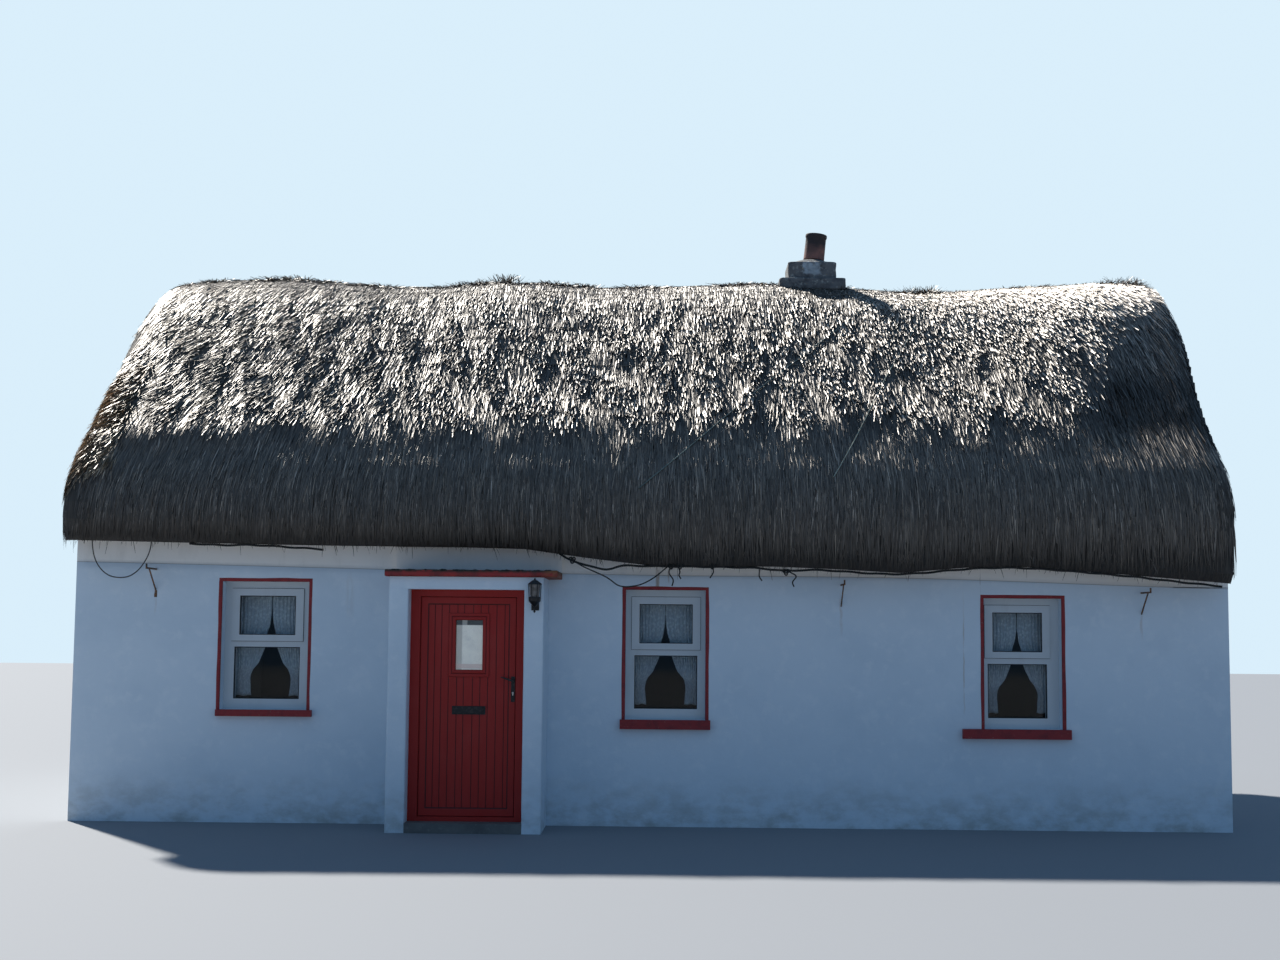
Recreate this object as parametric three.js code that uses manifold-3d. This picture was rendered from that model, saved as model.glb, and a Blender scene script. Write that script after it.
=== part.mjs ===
// A small whitewashed stone cottage with a thick thatched roof, a shallow porch and a chimney on the ridge.
// Millimetres, +Z up. The origin is the middle of the plan, on the underside of the floor at ground level.
// +X runs along the house to the right as seen from the front, and the front faces -Y.

import * as THREE from "three";
import { mergeVertices } from "three/addons/utils/BufferGeometryUtils.js";
import Module from "manifold-3d";

const wasm = await Module();
wasm.setup();

// Driving dimensions
const TOUCH = 0.3; // gap kept where a curved or cut piece meets its seat

const HOUSE = { halfLength: 5000, halfDepth: 2700, wall: 500, wallTop: 2450 };
const FLOOR_TOP = 80;

const ROOF_INSIDE = { plateEdge: 2200, plateTop: 2850, ridge: 4750 };
const THATCH = { left: -5065, right: 4970, wallGap: 1, rows: 12 };
const LEFT_VERGE = { radius: 230, drop: 150 };
const RIGHT_VERGE = { radius: 130, drop: 80, lean: 130, leanFrom: 3500, leanTo: 4800, reach: 900 };

// The thatch's front surface as [in from the wall's face, height], from under the eave up to the ridge
const EAVE_SECTION = [[-66, 2420], [-215, 2262], [-315, 2340]];
const SLOPE_SECTION = [[-345, 2590], [-305, 2850], [-110, 3127], [260, 3438], [700, 3822], [1150, 4237],
  [1650, 4673], [2150, 5019]];
const EAVE_HEIGHT = 2262;
const RIDGE_HEIGHT = 5216;

// The hand-laid ridge and eave rise and fall: [along the house, height]
const RIDGE_LINE = [[-5050, 5215], [-4600, 5240], [-3730, 5270], [-2370, 5190], [-1575, 5265], [-410, 5200],
  [840, 5250], [1980, 5225], [2420, 5150], [3600, 5215], [5050, 5300]];
const EAVE_LINE = [[-5050, 2412], [-3000, 2382], [-1280, 2370], [-765, 2331], [-80, 2234], [1290, 2228],
  [2140, 2184], [2990, 2250], [4090, 2183], [5050, 2110]];
const ROOF_STATIONS = 27;

const DOORWAY = { left: -2000, right: -1030, head: 2005 };
const PORCH = { front: -3350, jamb: 157, headTop: 2108 };
const CANOPY = { left: -2195, right: -757, front: -3390, top: 2168 };
const PORCH_PANEL = { thickness: 60, top: 2380 };

const DOOR_FRAME = { front: -3170, back: -3100, lip: 20, lipWidth: 80, lipHead: 56, latchLip: 78, sillLip: 35,
  bodyWidth: 60, latchWidth: 68, bodyHead: 46, sill: 18 };
const LEAF = { thickness: 45, gap: 6 };
const DOOR_LIGHT = { left: -1621, right: -1393, bottom: 1333, top: 1752, bead: 57, beadProud: 10, glass: 8 };
const HINGE = { radius: 8, out: 10, height: 45, leaf: 42, leafThickness: 6, levels: [300, 1050, 1700] };
const LETTER_PLATE = { left: -1642, right: -1361, bottom: 962, top: 1033, thickness: 6, rim: 20, railTop: 20,
  railBottom: 15 };
const LETTER_FLAP = { thickness: 5, forward: 5, side: 22, drop: 50, above: 4, pin: 3, pinBore: 3.6, ear: 12 };
const HANDLE = { x: -1133, z: 1246, plateWidth: 32, plateTop: 1282, plateBottom: 1070, plate: 9, hub: 9,
  hole: 9.5, bore: 12, reach: 45, lever: 105, leverHeight: 18, leverDepth: 12, lift: 17 };

const REVEAL = 125; // from the wall's face back to a window frame
const WINDOW_FRAME = { depth: 70, lightMargin: 30, transomBottom: 574, sillRail: 92 };
const SASH = { proud: 15, depth: 55, topGap: 62, bottomGap: 520, side: 72, top: 66, bottom: 58 };
const WINDOW_GLASS = { thickness: 6, lap: 15 };
const SILL_PROUD = 60;
// No two openings are alike: the frames sit off centre in them, as insets from the left and the right
const WINDOWS = [
  { name: "left", left: -3720, right: -2957, sill: 966, head: 2076, insets: [64, 71],
    ledge: { height: 56, left: 18, right: 48 } },
  { name: "middle", left: -205, right: 493, sill: 911, head: 2031, insets: [53, 45],
    ledge: { height: 80, left: 40, right: 40 } },
  { name: "right", left: 2890, right: 3566, sill: 858, head: 1984, insets: [30, 80],
    ledge: { height: 82, left: 190, right: 60 } },
];
const BACK_WINDOWS = [{ name: "back_left", left: -3360 }, { name: "back_right", left: 2660 }].map((w) => ({
  ...w, right: w.left + 700, sill: 911, head: 2031, insets: [50, 50],
  ledge: { height: 80, left: 50, right: 50 },
}));
const CURTAIN = { behindGlass: 60, thickness: 24, rod: 6, rodDrop: 40, parting: 5, side: 12, tieDrop: 660,
  tieWidth: 130, hemDrop: 960, hemWidth: 250 };

const CHIMNEY = { x: 1622, halfWidth: 300, halfDepth: 280, shaftTop: 5160, gap: 1 };
const CHIMNEY_CAP = { slabHalf: 345, slabDepthHalf: 325, slabTop: 5283, blockHalf: 252, blockTop: 5463,
  flaunchTop: 5512, flaunchHalf: 150 };
const CHIMNEY_POT = { bottomRadius: 108, topRadius: 105, rim: 112, wall: 16, height: 272, lean: 6, sides: 20,
  offset: 35 };

const BRACKETS = [{ name: "left", x: -4300, top: 2200 }, { name: "middle", x: 1662, top: 2110 },
  { name: "right", x: 4251, top: 2063 }];
const BRACKET = { drop: 270, width: 26, thickness: 5, arm: 300, armHeight: 14, stayFoot: 205,
  stayReach: 235, hook: 30 };

const LANTERN = { x: -940, y: -3432, bottom: 1812, cageBottom: 1945, cageTop: 2046, top: 2104, bowl: 49,
  cageRadiusTop: 57, cageRadiusBottom: 46, bar: 6, sides: 6, plateHalf: 32, plate: 12, plateBottom: 1835,
  plateTop: 1985, armHeight: 22, glassInset: 9 };

const ROPE = { eave: 9, roof: 7, sides: 8, roofSteps: 20, eaveSteps: 2 };
// Ropes as [along the house, height], laid on the thatch from the ridge down
const ROOF_ROPES = [
  { name: "roof_rope_right", colour: 0x8d9486, ends: [[2826, 5123], [1571, 2998]] },
  { name: "roof_rope_middle", colour: 0x6d827d, ends: [[2224, 4997], [-100, 2883]] },
  { name: "roof_rope_left", colour: 0x6b5a48, ends: [[-3254, 5176], [-3161, 3760]] },
];
// The eave rope as [along the house, drop below the thatch's edge]
const EAVE_ROPES = [
  { name: "eave_rope_right", line: [[-770, 8], [-670, 45], [-400, 70], [-210, 16], [60, 4], [500, 3],
    [900, 12], [1170, 34], [1400, 20], [1900, 12], [2350, 8], [2850, 14], [3300, 10], [4040, 10], [4450, 22],
    [4880, 30]] },
  { name: "eave_rope_left", line: [[-3960, 6], [-3700, 14], [-3400, 8], [-3050, 22], [-2800, 34]] },
];
// A loose length of cable hanging from the eave in a loop, as [x, y, z]
const CABLE = { radius: 5, sides: 8 };
const CABLE_LOOP = [[-4842, -2790, 2540], [-4838, -2790, 2370], [-4815, -2790, 2260], [-4765, -2790, 2175],
  [-4690, -2790, 2115], [-4600, -2790, 2095], [-4510, -2790, 2108], [-4440, -2790, 2155],
  [-4385, -2790, 2225], [-4348, -2790, 2300], [-4330, -2790, 2375], [-4322, -2790, 2540]];

const FRONT = -HOUSE.halfDepth;

// Solids
function toSolid(geometry) {
  const bare = geometry.index ? geometry.toNonIndexed() : geometry.clone();
  bare.deleteAttribute("normal");
  bare.deleteAttribute("uv");
  const merged = mergeVertices(bare, 1e-3);
  return new wasm.Manifold(new wasm.Mesh({
    numProp: 3,
    vertProperties: new Float32Array(merged.attributes.position.array),
    triVerts: new Uint32Array(merged.index.array),
  }));
}

function toGeometry(solid) {
  const mesh = solid.getMesh();
  const geometry = new THREE.BufferGeometry();
  geometry.setAttribute("position", new THREE.BufferAttribute(new Float32Array(mesh.vertProperties), 3));
  geometry.setIndex(new THREE.BufferAttribute(new Uint32Array(mesh.triVerts), 1));
  geometry.computeVertexNormals();
  return geometry;
}

function box(x0, x1, y0, y1, z0, z1) {
  const geometry = new THREE.BoxGeometry(x1 - x0, y1 - y0, z1 - z0);
  return geometry.translate((x0 + x1) / 2, (y0 + y1) / 2, (z0 + z1) / 2);
}

function boxSolid(...limits) {
  return toSolid(box(...limits));
}

function shapeOf(points) {
  return new THREE.Shape(points.map(([u, v]) => new THREE.Vector2(u, v)));
}

// An outline drawn in (y, z) and carried along X
function prismAlongX(points, x0, x1) {
  const geometry = new THREE.ExtrudeGeometry(shapeOf(points), { depth: x1 - x0, bevelEnabled: false });
  const turn = new THREE.Matrix4().makeBasis(
    new THREE.Vector3(0, 1, 0), new THREE.Vector3(0, 0, 1), new THREE.Vector3(1, 0, 0));
  return geometry.applyMatrix4(turn).translate(x0, 0, 0);
}

// An outline drawn in (x, z) and carried along Y
function prismAlongY(shape, y0, y1) {
  const options = { depth: y1 - y0, bevelEnabled: false, curveSegments: 5 };
  const geometry = new THREE.ExtrudeGeometry(shape, options);
  const turn = new THREE.Matrix4().makeBasis(
    new THREE.Vector3(1, 0, 0), new THREE.Vector3(0, 0, 1), new THREE.Vector3(0, -1, 0));
  return geometry.applyMatrix4(turn).translate(0, y1, 0);
}

function cylinderAlongY(radius, x, z, y0, y1, sides) {
  return new THREE.CylinderGeometry(radius, radius, y1 - y0, sides).translate(x, (y0 + y1) / 2, z);
}

function cylinderAlongZ(radius, x, y, z0, z1, sides) {
  const geometry = new THREE.CylinderGeometry(radius, radius, z1 - z0, sides);
  return geometry.rotateX(Math.PI / 2).translate(x, y, (z0 + z1) / 2);
}

function cylinderAlongX(radius, x0, x1, y, z, sides) {
  const geometry = new THREE.CylinderGeometry(radius, radius, x1 - x0, sides);
  return geometry.rotateZ(Math.PI / 2).translate((x0 + x1) / 2, y, z);
}

function polygon(radius, sides) {
  const points = [];
  for (let i = 0; i < sides; i++) {
    const angle = (2 * Math.PI * i) / sides;
    points.push(new THREE.Vector2(radius * Math.cos(angle), radius * Math.sin(angle)));
  }
  return new THREE.Shape(points);
}

function tube(curve, radius, sides, steps) {
  const options = { steps, bevelEnabled: false, extrudePath: curve };
  return new THREE.ExtrudeGeometry(polygon(radius, sides), options);
}

// Materials
const COLOURS = {
  limewash: 0xdfe4ea, concrete: 0x8a8a84, floor: 0x9b968c, thatch: 0x6b6258, red: 0x8c2026, upvc: 0xeef0f0,
  glass: 0x9fb2bd, net: 0xf2f3f2, black: 0x1d1d1e, clay: 0x7d4534, rust: 0x7a5a44,
  rope: 0x1e1c1a,
};

const cottage = new THREE.Group();

function material(colour, roughness = 0.8, metalness = 0) {
  return new THREE.MeshStandardMaterial({ color: colour, roughness, metalness });
}

function add(name, shape, finish, parent = cottage) {
  const geometry = shape.isBufferGeometry ? shape : toGeometry(shape);
  const mesh = new THREE.Mesh(geometry, finish);
  mesh.name = name;
  parent.add(mesh);
  return mesh;
}

// Floor: one slab inside the walls, with a tongue through the doorway out to the porch's front
function makeFloor() {
  const inX = HOUSE.halfLength - HOUSE.wall;
  const inY = HOUSE.halfDepth - HOUSE.wall;
  const outline = shapeOf([[-inX, -inY], [DOORWAY.left, -inY], [DOORWAY.left, PORCH.front],
    [DOORWAY.right, PORCH.front], [DOORWAY.right, -inY], [inX, -inY], [inX, inY], [-inX, inY]]);
  add("floor_slab", new THREE.ExtrudeGeometry(outline, { depth: FLOOR_TOP, bevelEnabled: false }),
    material(COLOURS.floor, 0.9));
}

// Walls: rubble stone under limewashed render, cut through for the windows and the doorway
function wallWithWindows(x0, x1, y0, y1, windows) {
  let wall = boxSolid(x0, x1, y0, y1, 0, HOUSE.wallTop);
  for (const w of windows) {
    wall = wall.subtract(boxSolid(w.left, w.right, y0 - 50, y1 + 50, w.sill, w.head));
  }
  return wall;
}

function makeWalls() {
  const inX = HOUSE.halfLength - HOUSE.wall;
  const inY = HOUSE.halfDepth - HOUSE.wall;
  const finish = () => material(COLOURS.limewash, 0.9);
  const [leftWindow, ...rightWindows] = WINDOWS;
  const { left, right, head } = DOORWAY;
  add("front_wall_left", wallWithWindows(-inX, left, FRONT, -inY, [leftWindow]), finish());
  add("front_wall_right", wallWithWindows(right, inX, FRONT, -inY, rightWindows), finish());
  add("front_wall_over_door", box(left, right, FRONT, -inY, head, HOUSE.wallTop), finish());
  add("back_wall", wallWithWindows(-inX, inX, inY, HOUSE.halfDepth, BACK_WINDOWS), finish());

  const { plateEdge, plateTop, ridge } = ROOF_INSIDE;
  const gable = [[FRONT, 0], [-FRONT, 0], [-FRONT, HOUSE.wallTop], [plateEdge, HOUSE.wallTop],
    [plateEdge, plateTop], [0, ridge], [-plateEdge, plateTop], [-plateEdge, HOUSE.wallTop],
    [FRONT, HOUSE.wallTop]];
  add("left_gable_wall", prismAlongX(gable, -HOUSE.halfLength, -inX), finish());
  add("right_gable_wall", prismAlongX(gable, inX, HOUSE.halfLength), finish());
}

// Thatch: a thick shell of straw over the walls, hollow inside up to the ridge
function lineThrough(points) {
  const curve = new THREE.SplineCurve(points.map(([x, z]) => new THREE.Vector2(x, z)));
  const samples = curve.getPoints(400);
  return (x) => {
    let i = 1;
    while (i < samples.length - 1 && samples[i].x < x) i++;
    const a = samples[i - 1];
    const b = samples[i];
    return a.y + ((b.y - a.y) * (x - a.x)) / (b.x - a.x);
  };
}

const ridgeAt = lineThrough(RIDGE_LINE);
const eaveAt = lineThrough(EAVE_LINE);

// The outside of the thatch at one station, from under the front eave over the ridge to under the back eave
function outsideSection(x) {
  const lift = ridgeAt(x) - RIDGE_HEIGHT;
  const dip = eaveAt(x) - EAVE_HEIGHT;
  const front = SLOPE_SECTION.map(([d, z]) => {
    const up = (z - SLOPE_SECTION[0][1]) / (RIDGE_HEIGHT - SLOPE_SECTION[0][1]);
    return new THREE.Vector2(FRONT + d, z + lift * up * up);
  });
  const ridge = new THREE.Vector2(0, RIDGE_HEIGHT + lift);
  const back = front.map((p) => new THREE.Vector2(-p.x, p.y)).reverse();
  const slope = new THREE.SplineCurve([...front, ridge, ...back]).getPoints(2 * THATCH.rows);
  const eave = EAVE_SECTION.map(([d, z], i) => new THREE.Vector2(FRONT + d, z + dip * (i === 0 ? 0.3 : 1)));
  const farEave = eave.map((p) => new THREE.Vector2(-p.x, p.y)).reverse();
  return [...eave, ...slope, ...farEave];
}

// Rounds the verge: how far the outside is drawn in near a gable end
function vergeInset(x) {
  const verge = x < 0 ? LEFT_VERGE : RIGHT_VERGE;
  const fromEnd = x < 0 ? x - THATCH.left : THATCH.right - x;
  const t = Math.min(1, Math.max(0, 1 - fromEnd / verge.radius));
  return verge.drop * (1 - Math.sqrt(1 - t ** 2));
}

// The right gable end leans outwards in its upper half: how far a point moves along the house
function endLean(x, z) {
  const { lean, leanFrom, leanTo, reach } = RIGHT_VERGE;
  const near = Math.max(0, 1 - (THATCH.right - x) / reach);
  return lean * near * near * THREE.MathUtils.smoothstep(z, leanFrom, leanTo);
}

// The slope is drawn in square to itself, and the overhang is shortened by the same amount
function drawnIn(section, inset) {
  const overhang = -SLOPE_SECTION[0][0];
  return section.map((p, i) => {
    const fromEnd = Math.min(i, section.length - 1 - i);
    if (fromEnd < EAVE_SECTION.length) {
      const out = (Math.abs(p.x) + FRONT) * (1 - inset / overhang);
      return new THREE.Vector2(Math.sign(p.x) * (out - FRONT), p.y);
    }
    const along = new THREE.Vector2().subVectors(section[i + 1], section[i - 1]).normalize();
    return new THREE.Vector2(p.x + along.y * inset, p.y - along.x * inset);
  });
}

function insideSection() {
  const wallFace = FRONT - THATCH.wallGap;
  const { plateEdge, plateTop, ridge } = ROOF_INSIDE;
  return [[-wallFace, HOUSE.wallTop], [plateEdge, HOUSE.wallTop], [plateEdge, plateTop], [0, ridge],
    [-plateEdge, plateTop], [-plateEdge, HOUSE.wallTop], [wallFace, HOUSE.wallTop]]
    .map(([y, z]) => new THREE.Vector2(y, z));
}

function roofStations() {
  const ends = [1, 0.93, 0.75, 0.45];
  const from = THATCH.left + LEFT_VERGE.radius;
  const to = THATCH.right - RIGHT_VERGE.radius;
  const middle = ROOF_STATIONS - 2 * ends.length;
  const stations = ends.map((t) => from - LEFT_VERGE.radius * t);
  for (let i = 0; i < middle; i++) stations.push(from + ((to - from) * i) / (middle - 1));
  return [...stations, ...ends.reverse().map((t) => to + RIGHT_VERGE.radius * t)];
}

function makeThatchSolid() {
  const stations = roofStations();
  const rings = stations.map((x) => [...drawnIn(outsideSection(x), vergeInset(x)), ...insideSection()]);
  const count = rings[0].length;
  const vertices = [];
  rings.forEach((ring, s) => {
    for (const p of ring) vertices.push(stations[s] + endLean(stations[s], p.y), p.x, p.y);
  });
  const triangles = [];
  for (let s = 0; s < rings.length - 1; s++) {
    for (let i = 0; i < count; i++) {
      const a = s * count + i;
      const b = s * count + ((i + 1) % count);
      triangles.push(a, a + count, b, b, a + count, b + count);
    }
  }
  const last = (rings.length - 1) * count;
  for (const [a, b, c] of THREE.ShapeUtils.triangulateShape(rings[0], [])) triangles.push(a, c, b);
  for (const [a, b, c] of THREE.ShapeUtils.triangulateShape(rings[rings.length - 1], [])) {
    triangles.push(last + a, last + b, last + c);
  }
  const geometry = new THREE.BufferGeometry();
  geometry.setAttribute("position", new THREE.BufferAttribute(new Float32Array(vertices), 3));
  geometry.setIndex(triangles);
  return toSolid(geometry);
}

function makeThatch() {
  const { x, halfWidth, halfDepth, shaftTop, gap } = CHIMNEY;
  const { slabHalf, slabDepthHalf } = CHIMNEY_CAP;
  const above = RIDGE_HEIGHT + 600;
  const hole = (w, d, z0) => boxSolid(x - w - gap, x + w + gap, -d - gap, d + gap, z0, above);
  const solid = makeThatchSolid()
    .subtract(hole(halfWidth, halfDepth, ROOF_INSIDE.ridge - 600))
    .subtract(hole(slabHalf, slabDepthHalf, shaftTop - gap));
  add("thatch_roof", solid, material(COLOURS.thatch, 1));
  return solid;
}

// Chimney: a masonry stack from the floor through the ridge, a concrete cap and a leaning clay pot
function makeChimney() {
  const { x, halfWidth, halfDepth, shaftTop } = CHIMNEY;
  add("chimney_stack", box(x - halfWidth, x + halfWidth, -halfDepth, halfDepth, FLOOR_TOP, shaftTop),
    material(COLOURS.limewash, 0.9));

  const cap = CHIMNEY_CAP;
  const pot = CHIMNEY_POT;
  const square = (half, depth, z0, z1) => boxSolid(x - half, x + half, -depth, depth, z0, z1);
  const rise = cap.flaunchTop - cap.blockTop + 1;
  const flaunch = new THREE.CylinderGeometry(cap.flaunchHalf, cap.blockHalf - 20, rise, 16)
    .rotateX(Math.PI / 2).translate(x, 0, cap.flaunchTop - rise / 2);
  const capSolid = square(cap.slabHalf, cap.slabDepthHalf, shaftTop, cap.slabTop)
    .add(square(cap.blockHalf, cap.blockHalf, cap.slabTop - 1, cap.blockTop))
    .add(toSolid(flaunch));
  add("chimney_cap", capSolid, material(COLOURS.concrete, 0.95));

  const wall = pot.wall;
  const profile = [[pot.bottomRadius - wall, 0], [pot.bottomRadius, 0], [pot.topRadius, pot.height - 35],
    [pot.rim, pot.height - 28], [pot.rim, pot.height], [pot.topRadius - wall, pot.height],
    [pot.bottomRadius - wall, 0]].map(([r, z]) => new THREE.Vector2(r, z));
  const seat = pot.bottomRadius * Math.sin(THREE.MathUtils.degToRad(pot.lean)) + TOUCH;
  const stand = new THREE.Group();
  stand.position.set(x + pot.offset, 0, cap.flaunchTop + seat);
  stand.rotation.set(0, THREE.MathUtils.degToRad(pot.lean), 0);
  cottage.add(stand);
  add("chimney_pot", toSolid(new THREE.LatheGeometry(profile, pot.sides).rotateX(Math.PI / 2)),
    material(COLOURS.clay, 0.85), stand);
}

// Porch: two jambs and a head in front of the doorway, a concrete canopy slab and a rendered panel above it
function makePorch() {
  const white = () => material(COLOURS.limewash, 0.9);
  const { front, jamb, headTop } = PORCH;
  const { left, right, head } = DOORWAY;
  add("porch_jamb_left", box(left - jamb, left, front, FRONT, 0, head), white());
  add("porch_jamb_right", box(right, right + jamb, front, FRONT, 0, head), white());
  add("porch_head", box(left - jamb, right + jamb, front, FRONT, head, headTop), white());
  add("canopy_slab", box(CANOPY.left, CANOPY.right, CANOPY.front, FRONT, headTop, CANOPY.top),
    material(COLOURS.red, 0.7));
  add("panel_over_porch", box(CANOPY.left, CANOPY.right, FRONT - PORCH_PANEL.thickness, FRONT, CANOPY.top,
    PORCH_PANEL.top), white());
}

// Door: a frame with a stop all round, and a boarded leaf on three butt hinges that opens inwards
const LEAF_LEFT = DOORWAY.left + DOOR_FRAME.bodyWidth + LEAF.gap;
const LEAF_RIGHT = DOORWAY.right - DOOR_FRAME.latchWidth - LEAF.gap - 1;
const LEAF_BOTTOM = FLOOR_TOP + DOOR_FRAME.sill + LEAF.gap;
const LEAF_TOP = DOORWAY.head - DOOR_FRAME.bodyHead - LEAF.gap;
const LEAF_FRONT = DOOR_FRAME.back - LEAF.thickness;
const HINGE_X = DOORWAY.left + DOOR_FRAME.bodyWidth + LEAF.gap / 2;
const HINGE_Y = DOOR_FRAME.back + HINGE.out;

function hingeHalf(solid, direction, z0, z1) {
  const { radius, leaf, leafThickness } = HINGE;
  const knuckle = toSolid(cylinderAlongZ(radius, HINGE_X, HINGE_Y, z0, z1, 12));
  const reach = [HINGE_X, HINGE_X + direction * leaf].sort((a, b) => a - b);
  const plate = boxSolid(...reach, DOOR_FRAME.back - 1, DOOR_FRAME.back + leafThickness, z0, z1);
  const heel = [Math.max(reach[0], HINGE_X - radius), Math.min(reach[1], HINGE_X + radius)];
  const neck = boxSolid(...heel, DOOR_FRAME.back + 1, HINGE_Y, z0, z1);
  return solid.add(knuckle).add(plate).add(neck);
}

function makeDoorFrame() {
  const f = DOOR_FRAME;
  const { left, right, head } = DOORWAY;
  const stopBack = f.front + f.lip;
  const stop = boxSolid(left, right, f.front, stopBack, FLOOR_TOP, head)
    .subtract(boxSolid(left + f.lipWidth, right - f.latchLip, f.front - 5, stopBack + 5,
      FLOOR_TOP + f.sillLip, head - f.lipHead));
  const body = boxSolid(left, right, stopBack - 1, f.back, FLOOR_TOP, head)
    .subtract(boxSolid(left + f.bodyWidth, right - f.latchWidth, f.front, f.back + 5,
      FLOOR_TOP + f.sill, head - f.bodyHead));
  let frame = stop.add(body);
  for (const z of HINGE.levels) frame = hingeHalf(frame, -1, z, z + HINGE.height);
  add("door_frame", frame, material(COLOURS.red, 0.5));
}

function makeLeaf(parent) {
  const light = DOOR_LIGHT;
  const plate = LETTER_PLATE;
  const through = [LEAF_FRONT - 50, DOOR_FRAME.back + 50];
  let leaf = boxSolid(LEAF_LEFT, LEAF_RIGHT, LEAF_FRONT, DOOR_FRAME.back, LEAF_BOTTOM, LEAF_TOP)
    .add(boxSolid(light.left - light.bead, light.right + light.bead, LEAF_FRONT - light.beadProud,
      LEAF_FRONT + 1, light.bottom - light.bead, light.top + light.bead))
    .subtract(boxSolid(light.left, light.right, ...through, light.bottom, light.top))
    .subtract(boxSolid(plate.left + plate.rim, plate.right - plate.rim, ...through,
      plate.bottom + plate.railBottom, plate.top - plate.railTop))
    .subtract(toSolid(cylinderAlongY(HANDLE.bore, HANDLE.x, HANDLE.z, ...through, 12)));
  for (const z of HINGE.levels) leaf = hingeHalf(leaf, 1, z + HINGE.height + TOUCH, z + 2 * HINGE.height);
  add("door_leaf", leaf, material(COLOURS.red, 0.5), parent);

  const paneY = (LEAF_FRONT + DOOR_FRAME.back - light.glass) / 2;
  const pane = box(light.left + TOUCH, light.right - TOUCH, paneY, paneY + light.glass, light.bottom + TOUCH,
    light.top - TOUCH);
  add("door_glass", pane, material(COLOURS.glass, 0.1), parent);
}

function makeLetterPlate(parent) {
  const plate = LETTER_PLATE;
  const flap = LETTER_FLAP;
  const face = LEAF_FRONT - plate.thickness;
  const flapBack = face - flap.forward;
  const pinY = flapBack - flap.thickness / 2;
  const pinZ = plate.top - flap.above - 4;
  const flapLeft = plate.left + flap.side;
  const flapRight = plate.right - flap.side;

  let solid = boxSolid(plate.left, plate.right, face, LEAF_FRONT, plate.bottom, plate.top)
    .subtract(boxSolid(plate.left + plate.rim, plate.right - plate.rim, face - 5, LEAF_FRONT + 5,
      plate.bottom + plate.railBottom, plate.top - plate.railTop));
  for (const [x0, x1] of [[plate.left + 5, flapLeft - 5], [flapRight + 5, plate.right - 5]]) {
    const ear = boxSolid(x0, x1, pinY - flap.ear / 2, face + 1, pinZ - flap.ear / 2, pinZ + flap.ear / 2)
      .subtract(toSolid(cylinderAlongX(flap.pinBore, x0 - 5, x1 + 5, pinY, pinZ, 12)));
    solid = solid.add(ear);
  }
  add("letter_plate", solid, material(COLOURS.black, 0.45, 0.6), parent);

  const flapFront = flapBack - flap.thickness;
  const flapSolid = boxSolid(flapLeft, flapRight, flapFront, flapBack, pinZ - flap.drop, pinZ + flap.above)
    .add(toSolid(cylinderAlongX(flap.pin, plate.left + 8, plate.right - 8, pinY, pinZ, 10)));
  add("letter_flap", flapSolid, material(COLOURS.black, 0.45, 0.6), parent);
}

function leverBar(y0, y1) {
  const { x, z, lever, leverHeight, lift } = HANDLE;
  const half = leverHeight / 2;
  const outline = new THREE.Shape();
  outline.moveTo(half, -half);
  outline.lineTo(half, half);
  outline.lineTo(-lever * 0.6, half * 0.8);
  outline.lineTo(-lever, half * 0.55);
  outline.lineTo(-lever, -half * 0.35);
  outline.lineTo(-lever * 0.6, -half * 0.6);
  const bar = prismAlongY(outline, y0, y1);
  return toSolid(bar.rotateY(THREE.MathUtils.degToRad(lift)).translate(x, 0, z));
}

function makeHandle(parent) {
  const h = HANDLE;
  const face = LEAF_FRONT - h.plate;
  const half = h.plateWidth / 2;
  const plate = boxSolid(h.x - half, h.x + half, face, LEAF_FRONT, h.plateBottom, h.plateTop)
    .subtract(toSolid(cylinderAlongY(h.hole, h.x, h.z, face - 20, LEAF_FRONT + 20, 12)));
  add("handle_plate", plate, material(COLOURS.black, 0.45, 0.6), parent);

  const outside = face - h.reach;
  const inside = DOOR_FRAME.back + h.reach;
  const spindle = toSolid(cylinderAlongY(h.hub, h.x, h.z, outside + 1, inside - 1, 12));
  const lever = spindle
    .add(leverBar(outside, outside + h.leverDepth))
    .add(leverBar(inside - h.leverDepth, inside));
  add("lever_handle", lever, material(COLOURS.black, 0.45, 0.6), parent);
}

function makeDoor() {
  makeDoorFrame();
  const leaf = new THREE.Group();
  cottage.add(leaf);
  makeLeaf(leaf);
  makeLetterPlate(leaf);
  makeHandle(leaf);
}

// Windows: a plastic frame with a transom, a top-hung sash, glass, and a painted concrete sill
function ring(x0, x1, y0, y1, z0, z1, side, bottom, top) {
  return boxSolid(x0, x1, y0, y1, z0, z1)
    .subtract(boxSolid(x0 + side, x1 - side, y0 - 20, y1 + 20, z0 + bottom, z1 - top));
}

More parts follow.
